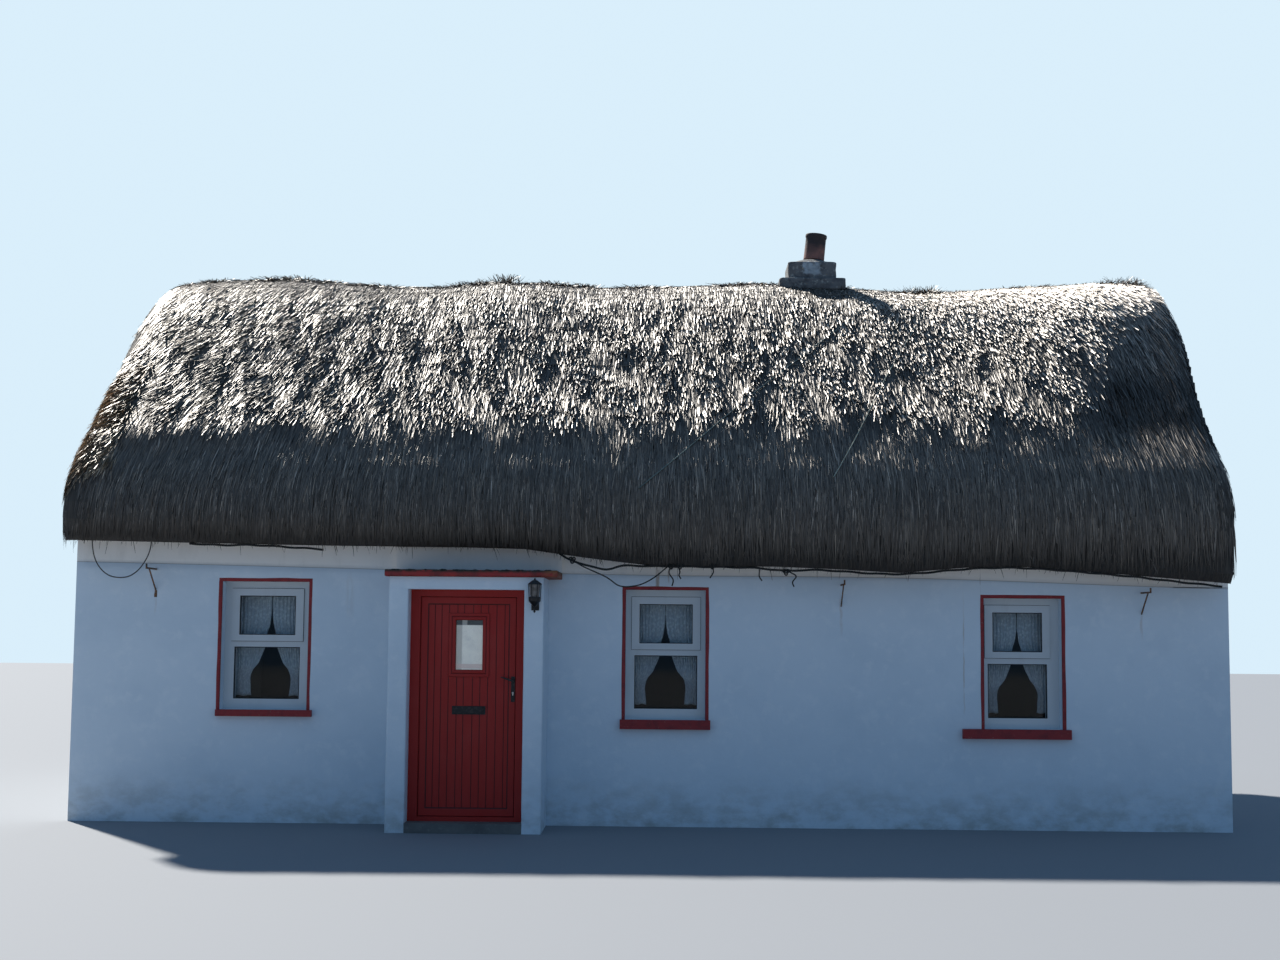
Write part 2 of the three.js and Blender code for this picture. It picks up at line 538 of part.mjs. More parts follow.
// One window drawn from its opening's left bottom corner, with y running back from the wall's face
function makeWindow(w, parent) {
  const width = w.right - w.left;
  const height = w.head - w.sill;
  const white = () => material(COLOURS.upvc, 0.35);
  const back = REVEAL + WINDOW_FRAME.depth;
  const { lightMargin, transomBottom, sillRail } = WINDOW_FRAME;
  const sash = { left: w.insets[0], right: width - w.insets[1], bottom: height - SASH.bottomGap,
    top: height - SASH.topGap };

  const frame = boxSolid(0, width, REVEAL, back, 0, height)
    .subtract(boxSolid(sash.left, sash.right, 0, back + 50, sash.bottom, sash.top))
    .subtract(boxSolid(sash.left + lightMargin, sash.right - lightMargin, 0, back + 50, sillRail,
      height - transomBottom));
  add(`${w.name}_window_frame`, frame, white(), parent);

  const sashFront = REVEAL - SASH.proud;
  const opening = ring(sash.left, sash.right, sashFront, sashFront + SASH.depth, sash.bottom, sash.top,
    SASH.side, SASH.bottom, SASH.top);
  add(`${w.name}_window_sash`, opening, white(), parent);

  const { thickness, lap } = WINDOW_GLASS;
  const pane = box(sash.left - lap, sash.right + lap, back, back + thickness, sillRail - lap, sash.top + lap);
  add(`${w.name}_window_glass`, pane, material(COLOURS.glass, 0.05), parent);

  const ledge = box(-w.ledge.left, width + w.ledge.right, -SILL_PROUD, 0, -w.ledge.height, 0);
  add(`${w.name}_window_sill`, ledge, material(COLOURS.red, 0.6), parent);
}

// Net curtains: a pair tied back to the sides, on one rod that spans the opening
function curtainHalf(width, rodZ, mirror) {
  const c = CURTAIN;
  const centre = width / 2 - c.parting;
  const at = (x) => (mirror ? width - x : x);
  const outline = new THREE.Shape();
  outline.moveTo(at(c.side), rodZ);
  outline.lineTo(at(centre), rodZ);
  outline.quadraticCurveTo(at(centre - 20), rodZ - c.tieDrop * 0.72, at(c.tieWidth), rodZ - c.tieDrop);
  outline.quadraticCurveTo(at(c.tieWidth + 70), rodZ - c.tieDrop - 120, at(c.hemWidth), rodZ - c.hemDrop);
  outline.lineTo(at(c.side), rodZ - c.hemDrop);
  const y0 = REVEAL + WINDOW_FRAME.depth + c.behindGlass;
  return toSolid(prismAlongY(outline, y0, y0 + c.thickness));
}

function makeCurtains(w, parent) {
  const width = w.right - w.left;
  const rodZ = w.head - w.sill - CURTAIN.rodDrop;
  const rodY = REVEAL + WINDOW_FRAME.depth + CURTAIN.behindGlass + CURTAIN.thickness / 2;
  const rod = toSolid(cylinderAlongX(CURTAIN.rod, TOUCH, width - TOUCH, rodY, rodZ, 8));
  const pair = rod.add(curtainHalf(width, rodZ, false)).add(curtainHalf(width, rodZ, true));
  add(`${w.name}_net_curtains`, pair, material(COLOURS.net, 0.9), parent);
}

function makeWindows() {
  for (const w of WINDOWS) {
    const group = new THREE.Group();
    group.position.set(w.left, FRONT, w.sill);
    cottage.add(group);
    makeWindow(w, group);
    makeCurtains(w, group);
  }
  for (const w of BACK_WINDOWS) {
    const group = new THREE.Group();
    group.position.set(w.right, -FRONT, w.sill);
    group.rotation.z = Math.PI;
    cottage.add(group);
    makeWindow(w, group);
  }
}

// Hanging-basket brackets: a flat iron strip on the wall, an arm and a stay
function makeBracket({ name, x, top }) {
  const b = BRACKET;
  const half = b.width / 2;
  const group = new THREE.Group();
  group.position.set(x, FRONT, top);
  cottage.add(group);
  const armTop = -20;
  const strip = boxSolid(-half, half, -b.thickness, 0, -b.drop, 0);
  const arm = boxSolid(-half / 2, half / 2, -b.arm, -1, armTop - b.armHeight, armTop);
  const hook = boxSolid(-half / 2, half / 2, -b.arm, -b.arm + 8, armTop - 1, armTop + b.hook);
  const stayOutline = [[-1, -b.stayFoot - 14], [-1, -b.stayFoot], [-b.stayReach + 14, armTop - 2],
    [-b.stayReach, armTop - 2]];
  const stay = toSolid(prismAlongX(stayOutline, -5, 5));
  add(`basket_bracket_${name}`, strip.add(arm).add(hook).add(stay), material(COLOURS.rust, 0.8, 0.4), group);
}

// Wall lantern: a six-sided glazed cage over a round bowl, on an arm from a plate on the porch's right jamb
function makeLantern() {
  const l = LANTERN;
  const bowlDrop = l.cageBottom - l.bottom;
  const up = (points) => new THREE.LatheGeometry(points.map(([r, z]) => new THREE.Vector2(r, z)), 12)
    .rotateX(Math.PI / 2);
  const bowl = toSolid(up([[0, 0], [9, 8], [9, 22], [5, 30], [5, 52], [14, 58], [l.bowl, bowlDrop - 36],
    [l.bowl + 3, bowlDrop - 6], [l.cageRadiusBottom + 4, bowlDrop], [0, bowlDrop]]));
  const capBase = l.cageTop - l.bottom;
  const capTop = l.top - l.bottom;
  const cap = toSolid(up([[0, capBase], [l.cageRadiusTop + 2, capBase], [l.cageRadiusTop, capBase + 8],
    [22, capBase + 34], [8, capBase + 40], [9, capTop - 12], [0, capTop]]));
  let body = bowl.add(cap);
  for (let i = 0; i < l.sides; i++) {
    const angle = (2 * Math.PI * i) / l.sides;
    const at = (radius, z) => new THREE.Vector3(radius * Math.cos(angle), radius * Math.sin(angle), z);
    const foot = at(l.cageRadiusBottom, bowlDrop - 4);
    const tip = at(l.cageRadiusTop * 0.93, capBase + 4);
    const bar = new THREE.BoxGeometry(l.bar, l.bar, foot.distanceTo(tip));
    bar.applyQuaternion(new THREE.Quaternion().setFromUnitVectors(new THREE.Vector3(0, 0, 1),
      new THREE.Vector3().subVectors(tip, foot).normalize()));
    bar.translate((foot.x + tip.x) / 2, (foot.y + tip.y) / 2, (foot.z + tip.z) / 2);
    body = body.add(toSolid(bar));
  }
  const wallY = PORCH.front - l.y;
  const armZ = bowlDrop - 20;
  const plateZ = [l.plateBottom - l.bottom, l.plateTop - l.bottom];
  body = body
    .add(boxSolid(-l.plateHalf, l.plateHalf, wallY - l.plate, wallY, ...plateZ))
    .add(boxSolid(-7, 7, 0, wallY - 1, armZ - l.armHeight, armZ));
  const group = new THREE.Group();
  group.position.set(l.x, l.y, l.bottom);
  cottage.add(group);
  add("wall_lantern", body, material(COLOURS.black, 0.5, 0.5), group);

  const glassTop = l.cageRadiusTop - l.glassInset;
  const glassBottom = l.cageRadiusBottom - l.glassInset;
  const glass = up([[0, bowlDrop + TOUCH], [glassBottom, bowlDrop + TOUCH], [glassTop, capBase - TOUCH],
    [0, capBase - TOUCH]]);
  add("lantern_glass", toSolid(glass), material(COLOURS.glass, 0.1), group);
}

// Ropes: tied over the thatch and along the eave, bedded a little into the straw
function frontSurface(x, z) {
  const section = outsideSection(x).slice(EAVE_SECTION.length, EAVE_SECTION.length + THATCH.rows + 1);
  let i = 1;
  while (i < section.length - 1 && section[i].y < z) i++;
  const a = section[i - 1];
  const b = section[i];
  const t = (z - a.y) / (b.y - a.y);
  const along = new THREE.Vector2().subVectors(b, a).normalize();
  const point = new THREE.Vector3(x, a.x + (b.x - a.x) * t, z);
  return { point, out: new THREE.Vector3(0, -along.y, along.x) };
}

function ropeAlong(points, radius, steps) {
  const curve = new THREE.CatmullRomCurve3(points, false, "centripetal");
  return toSolid(tube(curve, radius, ROPE.sides, steps));
}

function makeRopes(thatch) {
  const lifted = thatch.translate([0, -TOUCH, TOUCH]).add(thatch);
  for (const { name, colour, ends: [[x0, z0], [x1, z1]] } of ROOF_ROPES) {
    const points = [];
    const count = 24;
    for (let i = 0; i <= count; i++) {
      const t = i / count;
      const { point, out } = frontSurface(x0 + (x1 - x0) * t, z0 + (z1 - z0) * t);
      points.push(point.addScaledVector(out, 3));
    }
    const rope = ropeAlong(points, ROPE.roof, ROPE.roofSteps).subtract(lifted);
    add(name, largest(rope), material(colour, 0.9));
  }
  const under = thatch.translate([0, 0, -TOUCH]).add(thatch);
  for (const { name, line } of EAVE_ROPES) {
    const ropeY = FRONT + EAVE_SECTION[1][0];
    const points = line.map(([x, drop]) => new THREE.Vector3(x, ropeY, eaveAt(x) - drop));
    const rope = ropeAlong(points, ROPE.eave, line.length * ROPE.eaveSteps).subtract(under);
    add(name, largest(rope), material(COLOURS.rope, 0.95));
  }
  const route = CABLE_LOOP.map((p) => new THREE.Vector3(...p));
  const loop = new THREE.CatmullRomCurve3(route, false, "centripetal");
  add("eave_cable_loop", largest(toSolid(tube(loop, CABLE.radius, CABLE.sides, 44)).subtract(under)),
    material(COLOURS.black, 0.7));
}

function largest(solid) {
  const pieces = solid.decompose();
  return pieces.reduce((best, piece) => (piece.volume() > best.volume() ? piece : best));
}

makeFloor();
makeWalls();
const thatch = makeThatch();
makeChimney();
makePorch();
makeDoor();
makeWindows();
for (const bracket of BRACKETS) makeBracket(bracket);
makeLantern();
makeRopes(thatch);

export default cottage;
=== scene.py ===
import math
import bmesh
import bpy
import numpy as np
from mathutils import Euler, Matrix, Vector
from mathutils.bvhtree import BVHTree


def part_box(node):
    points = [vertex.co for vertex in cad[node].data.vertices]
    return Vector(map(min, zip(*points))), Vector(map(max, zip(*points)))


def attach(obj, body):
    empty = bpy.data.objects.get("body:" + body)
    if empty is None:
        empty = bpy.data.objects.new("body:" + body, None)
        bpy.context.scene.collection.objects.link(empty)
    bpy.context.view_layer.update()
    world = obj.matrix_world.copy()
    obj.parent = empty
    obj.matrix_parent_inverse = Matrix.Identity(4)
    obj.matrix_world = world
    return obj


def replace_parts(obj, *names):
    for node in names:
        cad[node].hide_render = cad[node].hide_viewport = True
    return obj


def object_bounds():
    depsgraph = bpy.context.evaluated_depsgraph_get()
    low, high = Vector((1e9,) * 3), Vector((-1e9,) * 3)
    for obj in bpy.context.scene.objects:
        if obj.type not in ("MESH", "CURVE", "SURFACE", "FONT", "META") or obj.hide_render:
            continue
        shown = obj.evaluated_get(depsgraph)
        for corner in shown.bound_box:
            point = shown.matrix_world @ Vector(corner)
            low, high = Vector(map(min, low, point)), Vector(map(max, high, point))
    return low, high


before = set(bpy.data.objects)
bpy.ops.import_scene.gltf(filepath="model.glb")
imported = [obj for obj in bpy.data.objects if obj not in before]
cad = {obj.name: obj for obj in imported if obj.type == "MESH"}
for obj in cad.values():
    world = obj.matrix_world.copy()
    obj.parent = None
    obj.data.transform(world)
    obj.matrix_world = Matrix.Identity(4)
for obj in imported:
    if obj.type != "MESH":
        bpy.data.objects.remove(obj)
cad_box = [list(corner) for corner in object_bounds()]
scene = bpy.context.scene

# Camera: it stands in front of the middle of the house at eye height, fifteen metres off, and looks up a
# little. The photograph was held half a degree out of level.
EYE = (0.135, -17.7, 1.6726)
PITCH, YAW, ROLL = (math.radians(angle) for angle in (95.0, 0.8557, 0.5))


def shown(name, data):
    """Adds an object to the scene."""
    made = bpy.data.objects.new(name, data)
    scene.collection.objects.link(made)
    return made


camera = shown("camera", bpy.data.cameras.new("camera"))
camera.data.lens = 48.516
camera.data.sensor_width = 36
camera.data.clip_end = 200
camera.matrix_world = (Matrix.Translation(EYE) @ Euler((PITCH, 0, YAW)).to_matrix().to_4x4()
                       @ Matrix.Rotation(ROLL, 4, "Z"))
scene.camera = camera

# Eave cable: a loose length of black sheathed cable, 10 mm thick, pushed up into the straw at the left end of
# the eave and left hanging in one loop.
CABLE_ROUTE = [(x, -2.790, z) for x, z in (
    (-4.842, 2.470), (-4.840, 2.370), (-4.815, 2.260), (-4.765, 2.175), (-4.690, 2.115), (-4.600, 2.095),
    (-4.510, 2.108), (-4.440, 2.155), (-4.385, 2.225), (-4.348, 2.300), (-4.330, 2.375), (-4.324, 2.470))]


def plug(socket, value):
    """Feeds a socket from another one, or sets its value. A colour is given without its alpha."""
    if isinstance(value, bpy.types.NodeSocket):
        socket.id_data.links.new(value, socket)
    else:
        socket.default_value = (*value, 1) if socket.type == "RGBA" else value


def node_in(tree, kind, sockets=None, out=0, **settings):
    """Adds a shader node and returns one of its outputs. Settings are the node's own properties; sockets maps its
    inputs to their values or to what feeds them."""
    made = tree.nodes.new("ShaderNode" + kind)
    for key, value in settings.items():
        setattr(made, key, value)
    for key, value in (sockets or {}).items():
        plug(made.inputs[key], value)
    return made.outputs[out]


def feed(shader, **sockets):
    """Sets or feeds inputs of a shader, named with underscores for spaces."""
    for key, value in sockets.items():
        plug(shader.inputs[key.replace("_", " ")], value)


def new_material(name, **sockets):
    """A material with a Principled shader; returns both."""
    made = bpy.data.materials.new(name)
    made.use_nodes = True
    shader = made.node_tree.nodes["Principled BSDF"]
    feed(shader, **sockets)
    return made, shader


def new_finish(name, **sockets):
    """A material, its shader, and the object coordinates for its patterns."""
    made, shader = new_material(name, **sockets)
    return made, shader, node_in(made.node_tree, "TexCoord", out="Object")


def noise(where, scale, detail=2.0, roughness=0.5):
    """Cloudy noise from 0 to 1."""
    sockets = {"Vector": where, "Scale": scale, "Detail": detail, "Roughness": roughness}
    return node_in(where.id_data, "TexNoise", sockets)


def ramp(value, first, last, *between):
    """A colour ramp. Each stop is its position and colour."""
    made = node_in(value.id_data, "ValToRGB", {"Fac": value})
    stops = made.node.color_ramp.elements
    stops[0].position, stops[1].position = first[0], last[0]
    stops[0].color, stops[1].color = (*first[1], 1), (*last[1], 1)
    for at, colour in between:
        stops.new(at).color = (*colour, 1)
    return made


def smooth_line(stations, spans):
    """Points on a Catmull-Rom curve: each span is a cubic whose end slopes are half the chord past its ends."""
    p = np.asarray(stations, float)
    p = np.vstack([2 * p[0] - p[1], p, 2 * p[-1] - p[-2]])
    t = np.linspace(0, 1, spans, endpoint=False)[None, :, None]
    a, b, c, d = (p[i:len(p) - 3 + i, None, :] for i in range(4))
    curve = 0.5 * (2 * b + (c - a) * t + (2 * a - 5 * b + 4 * c - d) * t**2 + (3 * b - a - 3 * c + d) * t**3)
    return np.vstack([curve.reshape(-1, p.shape[1]), p[-2]])


def run_along(line):
    """The distance along a line of points, at each of them."""
    return np.r_[0, np.linalg.norm(np.diff(line, axis=0), axis=1).cumsum()]


cable_points = smooth_line(CABLE_ROUTE, 5)
cable_line = bpy.data.curves.new("cable_loop", "CURVE")
cable_line.dimensions = "3D"
cable_line.bevel_depth = 0.005
cable_line.bevel_resolution = 4
cable_line.use_fill_caps = True
spline = cable_line.splines.new("POLY")
spline.points.add(len(cable_points) - 1)
spline.points.foreach_set("co", np.insert(cable_points, 3, 1, axis=1).ravel())
cable = shown("cable_loop", cable_line)
sheath, shader, where = new_finish("cable_sheath", Roughness=0.5)
feed(shader, Base_Color=ramp(noise(where, 35.0, 4.0), (0, (0.012, 0.012, 0.014)), (1, (0.06, 0.055, 0.05))))
cable_line.materials.append(sheath)
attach(cable, "house")
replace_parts(cable, "eave_cable_loop")
round(float(run_along(cable_points)[-1]), 3)

# Studio: a pale floor, a soft blue surround that fills the shaded front, and one sun lamp from behind the
# house's left end, so low that it only grazes the straw of the front slope. Seen directly, the surround is a
# plain pale sky.
scene.view_settings.view_transform = "Standard"
surround = bpy.data.worlds.new("surround")
surround.use_nodes = True
tree = surround.node_tree
fill = tree.nodes["Background"]
feed(fill, Color=(0.33, 0.60, 1.0), Strength=0.405)
backdrop = node_in(tree, "Background", {"Color": (0.70, 0.86, 0.97), "Strength": 1.0})
seen = node_in(tree, "LightPath", out="Is Camera Ray")
both = node_in(tree, "MixShader", {0: seen, 1: fill.outputs[0], 2: backdrop})
plug(tree.nodes["World Output"].inputs["Surface"], both)
scene.world = surround

SUN_HEIGHT, SUN_SIDE = math.radians(41.7), math.radians(-35)
to_sun = Vector((math.sin(SUN_SIDE) * math.cos(SUN_HEIGHT), math.cos(SUN_SIDE) * math.cos(SUN_HEIGHT),
                 math.sin(SUN_HEIGHT)))
sun = shown("sun", bpy.data.lights.new("sun", "SUN"))
sun.data.energy = 8.5
sun.data.angle = math.radians(2.5)
sun.data.color = (1.0, 0.96, 0.89)
sun.rotation_mode = "QUATERNION"
sun.rotation_quaternion = (-to_sun).to_track_quat("-Z", "Y")

floor_mesh = bpy.data.meshes.new("floor")
floor_mesh.from_pydata([(-60, -60, 0), (60, -60, 0), (60, 60, 0), (-60, 60, 0)], [], [(0, 1, 2, 3)])
floor_mesh.materials.append(new_material("pale_floor", Roughness=0.9, Base_Color=(0.225, 0.237, 0.257))[0])
floor = shown("floor", floor_mesh)
floor.location.z = -0.001

# Thatch body: about half a metre of weathered grey straw, laid on by hand and tied down, so that its face
# swells and sinks. The imported solid is the straw seen in the depths, coloured dark as painted shade; the
# strands lie on its face.
STRAW_SEED = 7
SLOPE_STEP = 0.04
RIDGE_BACK = 0.6
EAVE_BELOW = 0.3
LEFT_END, RIGHT_END = -5.06, 4.955
CHIMNEY_GAP = (1.24, 2.01)
AXIS_HEIGHT = 3.0
BOX_MARGIN = 0.002
SHORT_STRAW, LONG_STRAW = (0, 0.5, 1), (0, 0.35, 0.7, 1)  # where along a straw its points lie
LIT_FROM = 1.8  # where along the house the straw under the ridge turns bright


def ripple(seed, scale, x, y=0.0, octaves=3):
    """Smooth seeded noise between about -1 and 1: sums of sines in random directions, each octave twice as fine."""
    draw = np.random.default_rng(seed)
    total = np.zeros(np.broadcast(x, y).shape)
    for octave in range(octaves):
        for _ in range(5):
            turn, phase, stretch = draw.uniform(0, math.tau), draw.uniform(0, math.tau), draw.uniform(0.7, 1.4)
            k = math.tau * 2**octave * stretch / scale
            total += np.sin(k * (x * np.cos(turn) + y * np.sin(turn)) + phase) / 2**octave
    return total / 5


def rising(value, start, width):
    """Rises evenly from 0 at a start to 1 at a width beyond it; with a negative width, the other way."""
    return np.clip((value - start) / width, 0, 1)


def unit(vectors):
    """Vectors of length one."""
    return vectors / np.linalg.norm(vectors, axis=-1, keepdims=True)


def end_lean(u, z):
    """How far the right gable end leans outwards: a square law along the house times a smooth step in height."""
    s = rising(z, 3.5, 1.3)
    return 0.13 * np.clip(1 - (4.97 - u) / 0.9, 0, None) ** 2 * s * s * (3 - 2 * s)


roof = cad["thatch_roof"].data
roof_points = np.empty(len(roof.vertices) * 3, np.float32)
roof.vertices.foreach_get("co", roof_points)
roof_points = roof_points.reshape(-1, 3).astype(float)
roof_faces = BVHTree.FromPolygons(roof_points.tolist(), [tuple(p.vertices) for p in roof.polygons])
tips = roof_points[(roof_points[:, 1] < -2.75) & (roof_points[:, 2] < 2.46)]
tip_x = np.unique(tips[:, 0].round(3))
tip_z = np.array([tips[np.abs(tips[:, 0] - x) < 2e-3, 2].min() for x in tip_x])

# The face is found by rays towards the roof's middle, in planes across the house, missing out the chimney
stations = np.concatenate([np.linspace(LEFT_END, CHIMNEY_GAP[0], 72), np.linspace(CHIMNEY_GAP[1], RIGHT_END, 36)])
turns = np.linspace(0, 1, 72)
corner_angle = np.arctan2(np.interp(stations, tip_x, tip_z) + 0.078 - AXIS_HEIGHT, 3.015)
angles = np.pi / 2 + (corner_angle[:, None] - np.pi / 2) * turns


def outer_face(x, angle):
    """The first point of the roof on a ray from far out, in the plane of x, at an angle above the front."""
    out = Vector((0, -math.cos(angle), math.sin(angle)))
    hit = roof_faces.ray_cast(Vector((x, 0, AXIS_HEIGHT)) + out * 8, -out)[0]
    return (x, hit.y, hit.z) if hit else (x, np.nan, np.nan)


profile = np.array([[outer_face(x, a) for a in row] for x, row in zip(stations, angles)])
leaning = stations > 4.0
x_leaning = stations[leaning, None] + end_lean(stations[leaning, None], profile[leaning, :, 2])
profile[leaning] = [[outer_face(x, a) for x, a in zip(xs, row)] for xs, row in zip(x_leaning, angles[leaning])]
for axis in (1, 2):
    gap = np.isnan(profile[:, :, axis])
    profile[:, :, axis][gap] = np.interp(np.flatnonzero(gap), np.flatnonzero(~gap), profile[:, :, axis][~gap])

# The face as a grid: u along the house, t down the slope from the ridge line, negative behind it, and
# below the eave straight down
over_ridge = np.concatenate([profile[:, :0:-1] * [1, -1, 1], profile], axis=1)
along = np.array([run_along(line) for line in over_ridge])
along -= along[:, len(turns) - 1][:, None]
slope_length = along[:, -1]
t_grid = np.arange(-RIDGE_BACK, slope_length.max() + EAVE_BELOW, SLOPE_STEP)
u_grid = np.linspace(LEFT_END, RIGHT_END, 253)
face = np.stack([[np.interp(t_grid, run, line[:, axis]) for run, line in zip(along, over_ridge)]
                 for axis in range(3)], axis=-1)
below = np.clip(t_grid - slope_length[:, None], 0, None)
face[..., 2] -= below
face[..., 1] += 0.25 * below
face = np.apply_along_axis(lambda line: np.interp(u_grid, stations, line), 0, face)
eave_t = np.interp(u_grid, stations, slope_length)


def eave_at(u):
    """How far down the slope the eave lies."""
    return np.interp(u, u_grid, eave_t)


def softened(grid, times):
    """A grid with its facets rounded: each point moves to the weighted mean of itself and its neighbours."""
    for _ in range(times):
        inner = grid.copy()
        inner[1:-1] = (grid[:-2] + 2 * grid[1:-1] + grid[2:]) / 4
        grid = inner.copy()
        grid[:, 1:-1] = (inner[:, :-2] + 2 * inner[:, 1:-1] + inner[:, 2:]) / 4
    return grid


def outward(grid):
    """Unit normals of the face, from the cross product of its two directions, with the sign that points up."""
    n = unit(np.cross(np.gradient(grid, axis=1), np.gradient(grid, axis=0)))
    return n * np.sign(n[120, 40, 2])


# Swells and hollows of the face, in metres: long waves and lumps; a brow, below which the face drops away; and a
# hump that runs slanting down the right end, with a hollow beyond it
def brow(u):
    """How far down the slope the brow lies: it wanders, and is lower at the left end and higher at the right."""
    return 2.95 + 0.20 * ripple(13, 0.9, u, 0, 2) + 0.35 * rising(u, -3.0, -1.5) - 0.20 * rising(u, 3.0, 1.5)


def hollow_from(t):
    """Where along the house the hollow at the right end begins, by how far down the slope."""
    return np.interp(t, [0.4, 0.9, 1.4, 2.2, 3.0], [4.84, 4.56, 4.28, 3.94, 3.70])


face = softened(face, 3)
U, T = np.meshgrid(u_grid, t_grid, indexing="ij")
swell = 0.028 + 0.010 * ripple(11, 1.5, U, 0.8 * T) + 0.010 * ripple(12, 0.45, U, 0.7 * T)
swell *= np.interp(T, [-0.2, 0.2, 0.8], [0.2, 0.6, 1.0])
swell += np.where(T < brow(U), 0.048 * rising(T, 1.3, brow(U) - 1.3) ** 1.2,
                  0.048 - 0.080 * rising(T, brow(U), 3.5 - brow(U)))
swell += 0.030 * np.exp(-((U - 3.4) / 1.2) ** 2 - ((T - 0.9) / 0.4) ** 2)
swell += (0.055 * np.exp(-((U - hollow_from(T) + 0.35) / 0.40) ** 2)
          * np.interp(T, [0.1, 0.6, 2.3, 2.9], [0, 1, 1, 0]))
swell *= 1 - 0.85 * rising(U, hollow_from(T), 0.6) * rising(T, 0.3, 0.4)
swell = 0.095 * np.tanh(np.clip(swell, 0.006, None) / 0.095) * np.interp(T / eave_t[:, None], [0.8, 1], [1.0, 0.4])
swell *= np.clip(np.minimum(U - LEFT_END, RIGHT_END - U) / 0.5, 0.1, 1)
face += outward(face) * (swell + 0.008)[..., None]
normal = outward(face)


def on_face(u, t, side):
    """Points and outward normals of the face at (u, t), bilinear in the grid; side is -1 in front, 1 behind."""
    a = np.clip((u - u_grid[0]) / (u_grid[1] - u_grid[0]), 0, len(u_grid) - 1.001)
    b = np.clip((t - t_grid[0]) / SLOPE_STEP, 0, len(t_grid) - 1.001)
    i, j = a.astype(int), b.astype(int)
    a, b = (a - i)[..., None], (b - j)[..., None]
    return [((g[i, j] * (1 - a) + g[i + 1, j] * a) * (1 - b) + (g[i, j + 1] * (1 - a) + g[i + 1, j + 1] * a) * b)
            * np.array([1, -side, 1]) for g in (face, normal)]


def object_from(name, points, quads, **attributes):
    """An object at the origin from arrays of points and four-cornered faces. Attributes give each point a value."""
    mesh = bpy.data.meshes.new(name)
    mesh.vertices.add(len(points))
    mesh.vertices.foreach_set("co", np.asarray(points, np.float32).ravel())
    mesh.loops.add(quads.size)
    mesh.loops.foreach_set("vertex_index", quads.astype(np.int32).ravel())
    mesh.polygons.add(len(quads))
    mesh.polygons.foreach_set("loop_start", np.arange(0, quads.size, 4, dtype=np.int32))
    for key, value in attributes.items():
        mesh.attributes.new(key, "FLOAT", "POINT").data.foreach_set("value", value.astype(np.float32))
    mesh.update(calc_edges=True)
    return shown(name, mesh)


def fitted(thing, body, slot, *looks):
    """Gives a piece its finishes and the body it moves with; slot is not used."""
    for look in looks:
        thing.data.materials.append(look)
    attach(thing, body)
    return thing


def ribbons(name, middle, half, tone, warm, damp, flip=False):
    """Straws as ribbons of quads: points along each one's middle, less and plus half its width as a vector. All
    points stay two millimetres inside the solids' box."""
    points = np.clip(np.stack([middle - half, middle + half], axis=2),
                     np.array(cad_box[0]) + BOX_MARGIN, np.array(cad_box[1]) - BOX_MARGIN)
    shape = middle.shape[:2]
    first = 2 * np.arange(shape[0] * shape[1]).reshape(shape)[:, :-1]
    quads = np.stack([first, first + 1, first + 3, first + 2], axis=-1).reshape(-1, 4)
    each = lambda v: np.repeat(np.broadcast_to(v, shape).ravel(), 2)
    thing = object_from(name, points.reshape(-1, 3), quads[:, ::-1] if flip else quads,
                        tone=each(tone[:, None]), warm=each(warm[:, None]), damp=each(damp))
    fitted(thing, "house", "thatch", straw)


def strands(name, side, u, t, heading, length, width, lift, twist, tone, warm, stations=SHORT_STRAW, curl=1.6,
            sink=0.0):
    """Flat straws. A straw starts at (u, t) and runs by its length at an angle, its heading, from straight down the
    slope. It rises off the face by lift times s to the power of curl, less sink at its root, where s goes from 0
    at the root to 1 at the tip. It narrows to the tip and is turned about its own line."""
    s = np.asarray(stations, float)[None, :]
    t_line = t[:, None] + (np.cos(heading) * length)[:, None] * s
    u_line = u[:, None] + (np.sin(heading) * length)[:, None] * s
    middle, out = on_face(u_line, t_line, side)
    middle = middle + out * (lift[:, None] * s**curl - sink * (1 - s))[..., None]
    middle[..., 0] += 0.02 * np.tanh((u_line - np.clip(u_line, u_grid[0], u_grid[-1])) / 0.02)
    line = unit(np.gradient(middle, axis=1))
    across = unit(np.cross(line, out))
    turn = twist[:, None, None]
    across = across * np.cos(turn) + np.cross(across, line) * np.sin(turn)
    half = 0.5 * width[:, None] * np.interp(s, [0, 0.75, 1], [0.9, 1, 0.4])
    damp = np.exp(-np.clip(eave_at(u_line) - t_line + 0.02 + 0.05 * ripple(34, 0.3, u_line), 0, None) / 0.19)
    ribbons(name, middle, across * half[..., None], tone, warm, damp, flip=side > 0)


def calc(operation, *values):
    """The result of a Math node on one to three values, at least one of them a socket."""
    tree = next(value.id_data for value in values if isinstance(value, bpy.types.NodeSocket))
    return node_in(tree, "Math", dict(enumerate(values)), operation=operation)


def painted_over(base, colour, mask, amount=1.0, blend_type="MIX"):
    """A colour laid over a base where the mask is one: base + (colour - base) * mask * amount."""
    sockets = {0: calc("MULTIPLY", mask, amount), 6: base, 7: colour}
    return node_in(mask.id_data, "Mix", sockets, out=2, data_type="RGBA", blend_type=blend_type)


def attribute(shader, name):
    """A value that each point of the mesh carries."""
    return node_in(shader.id_data, "Attribute", out="Fac", attribute_name=name)


straw, shader = new_material("weathered_straw", Roughness=0.48, Specular_IOR_Level=0.8,
                             Specular_Tint=(1.0, 0.90, 0.80))
grey = ramp(attribute(shader, "tone"), (0, (0.012, 0.010, 0.009)), (1, (0.60, 0.55, 0.50)),
            (0.3, (0.055, 0.050, 0.048)), (0.6, (0.13, 0.12, 0.112)), (0.8, (0.30, 0.275, 0.25)))
tan = painted_over(grey, (1.0, 0.72, 0.42), attribute(shader, "warm"), blend_type="MULTIPLY")
feed(shader, Base_Color=painted_over(tan, (0.005, 0.0045, 0.004), attribute(shader, "damp")))

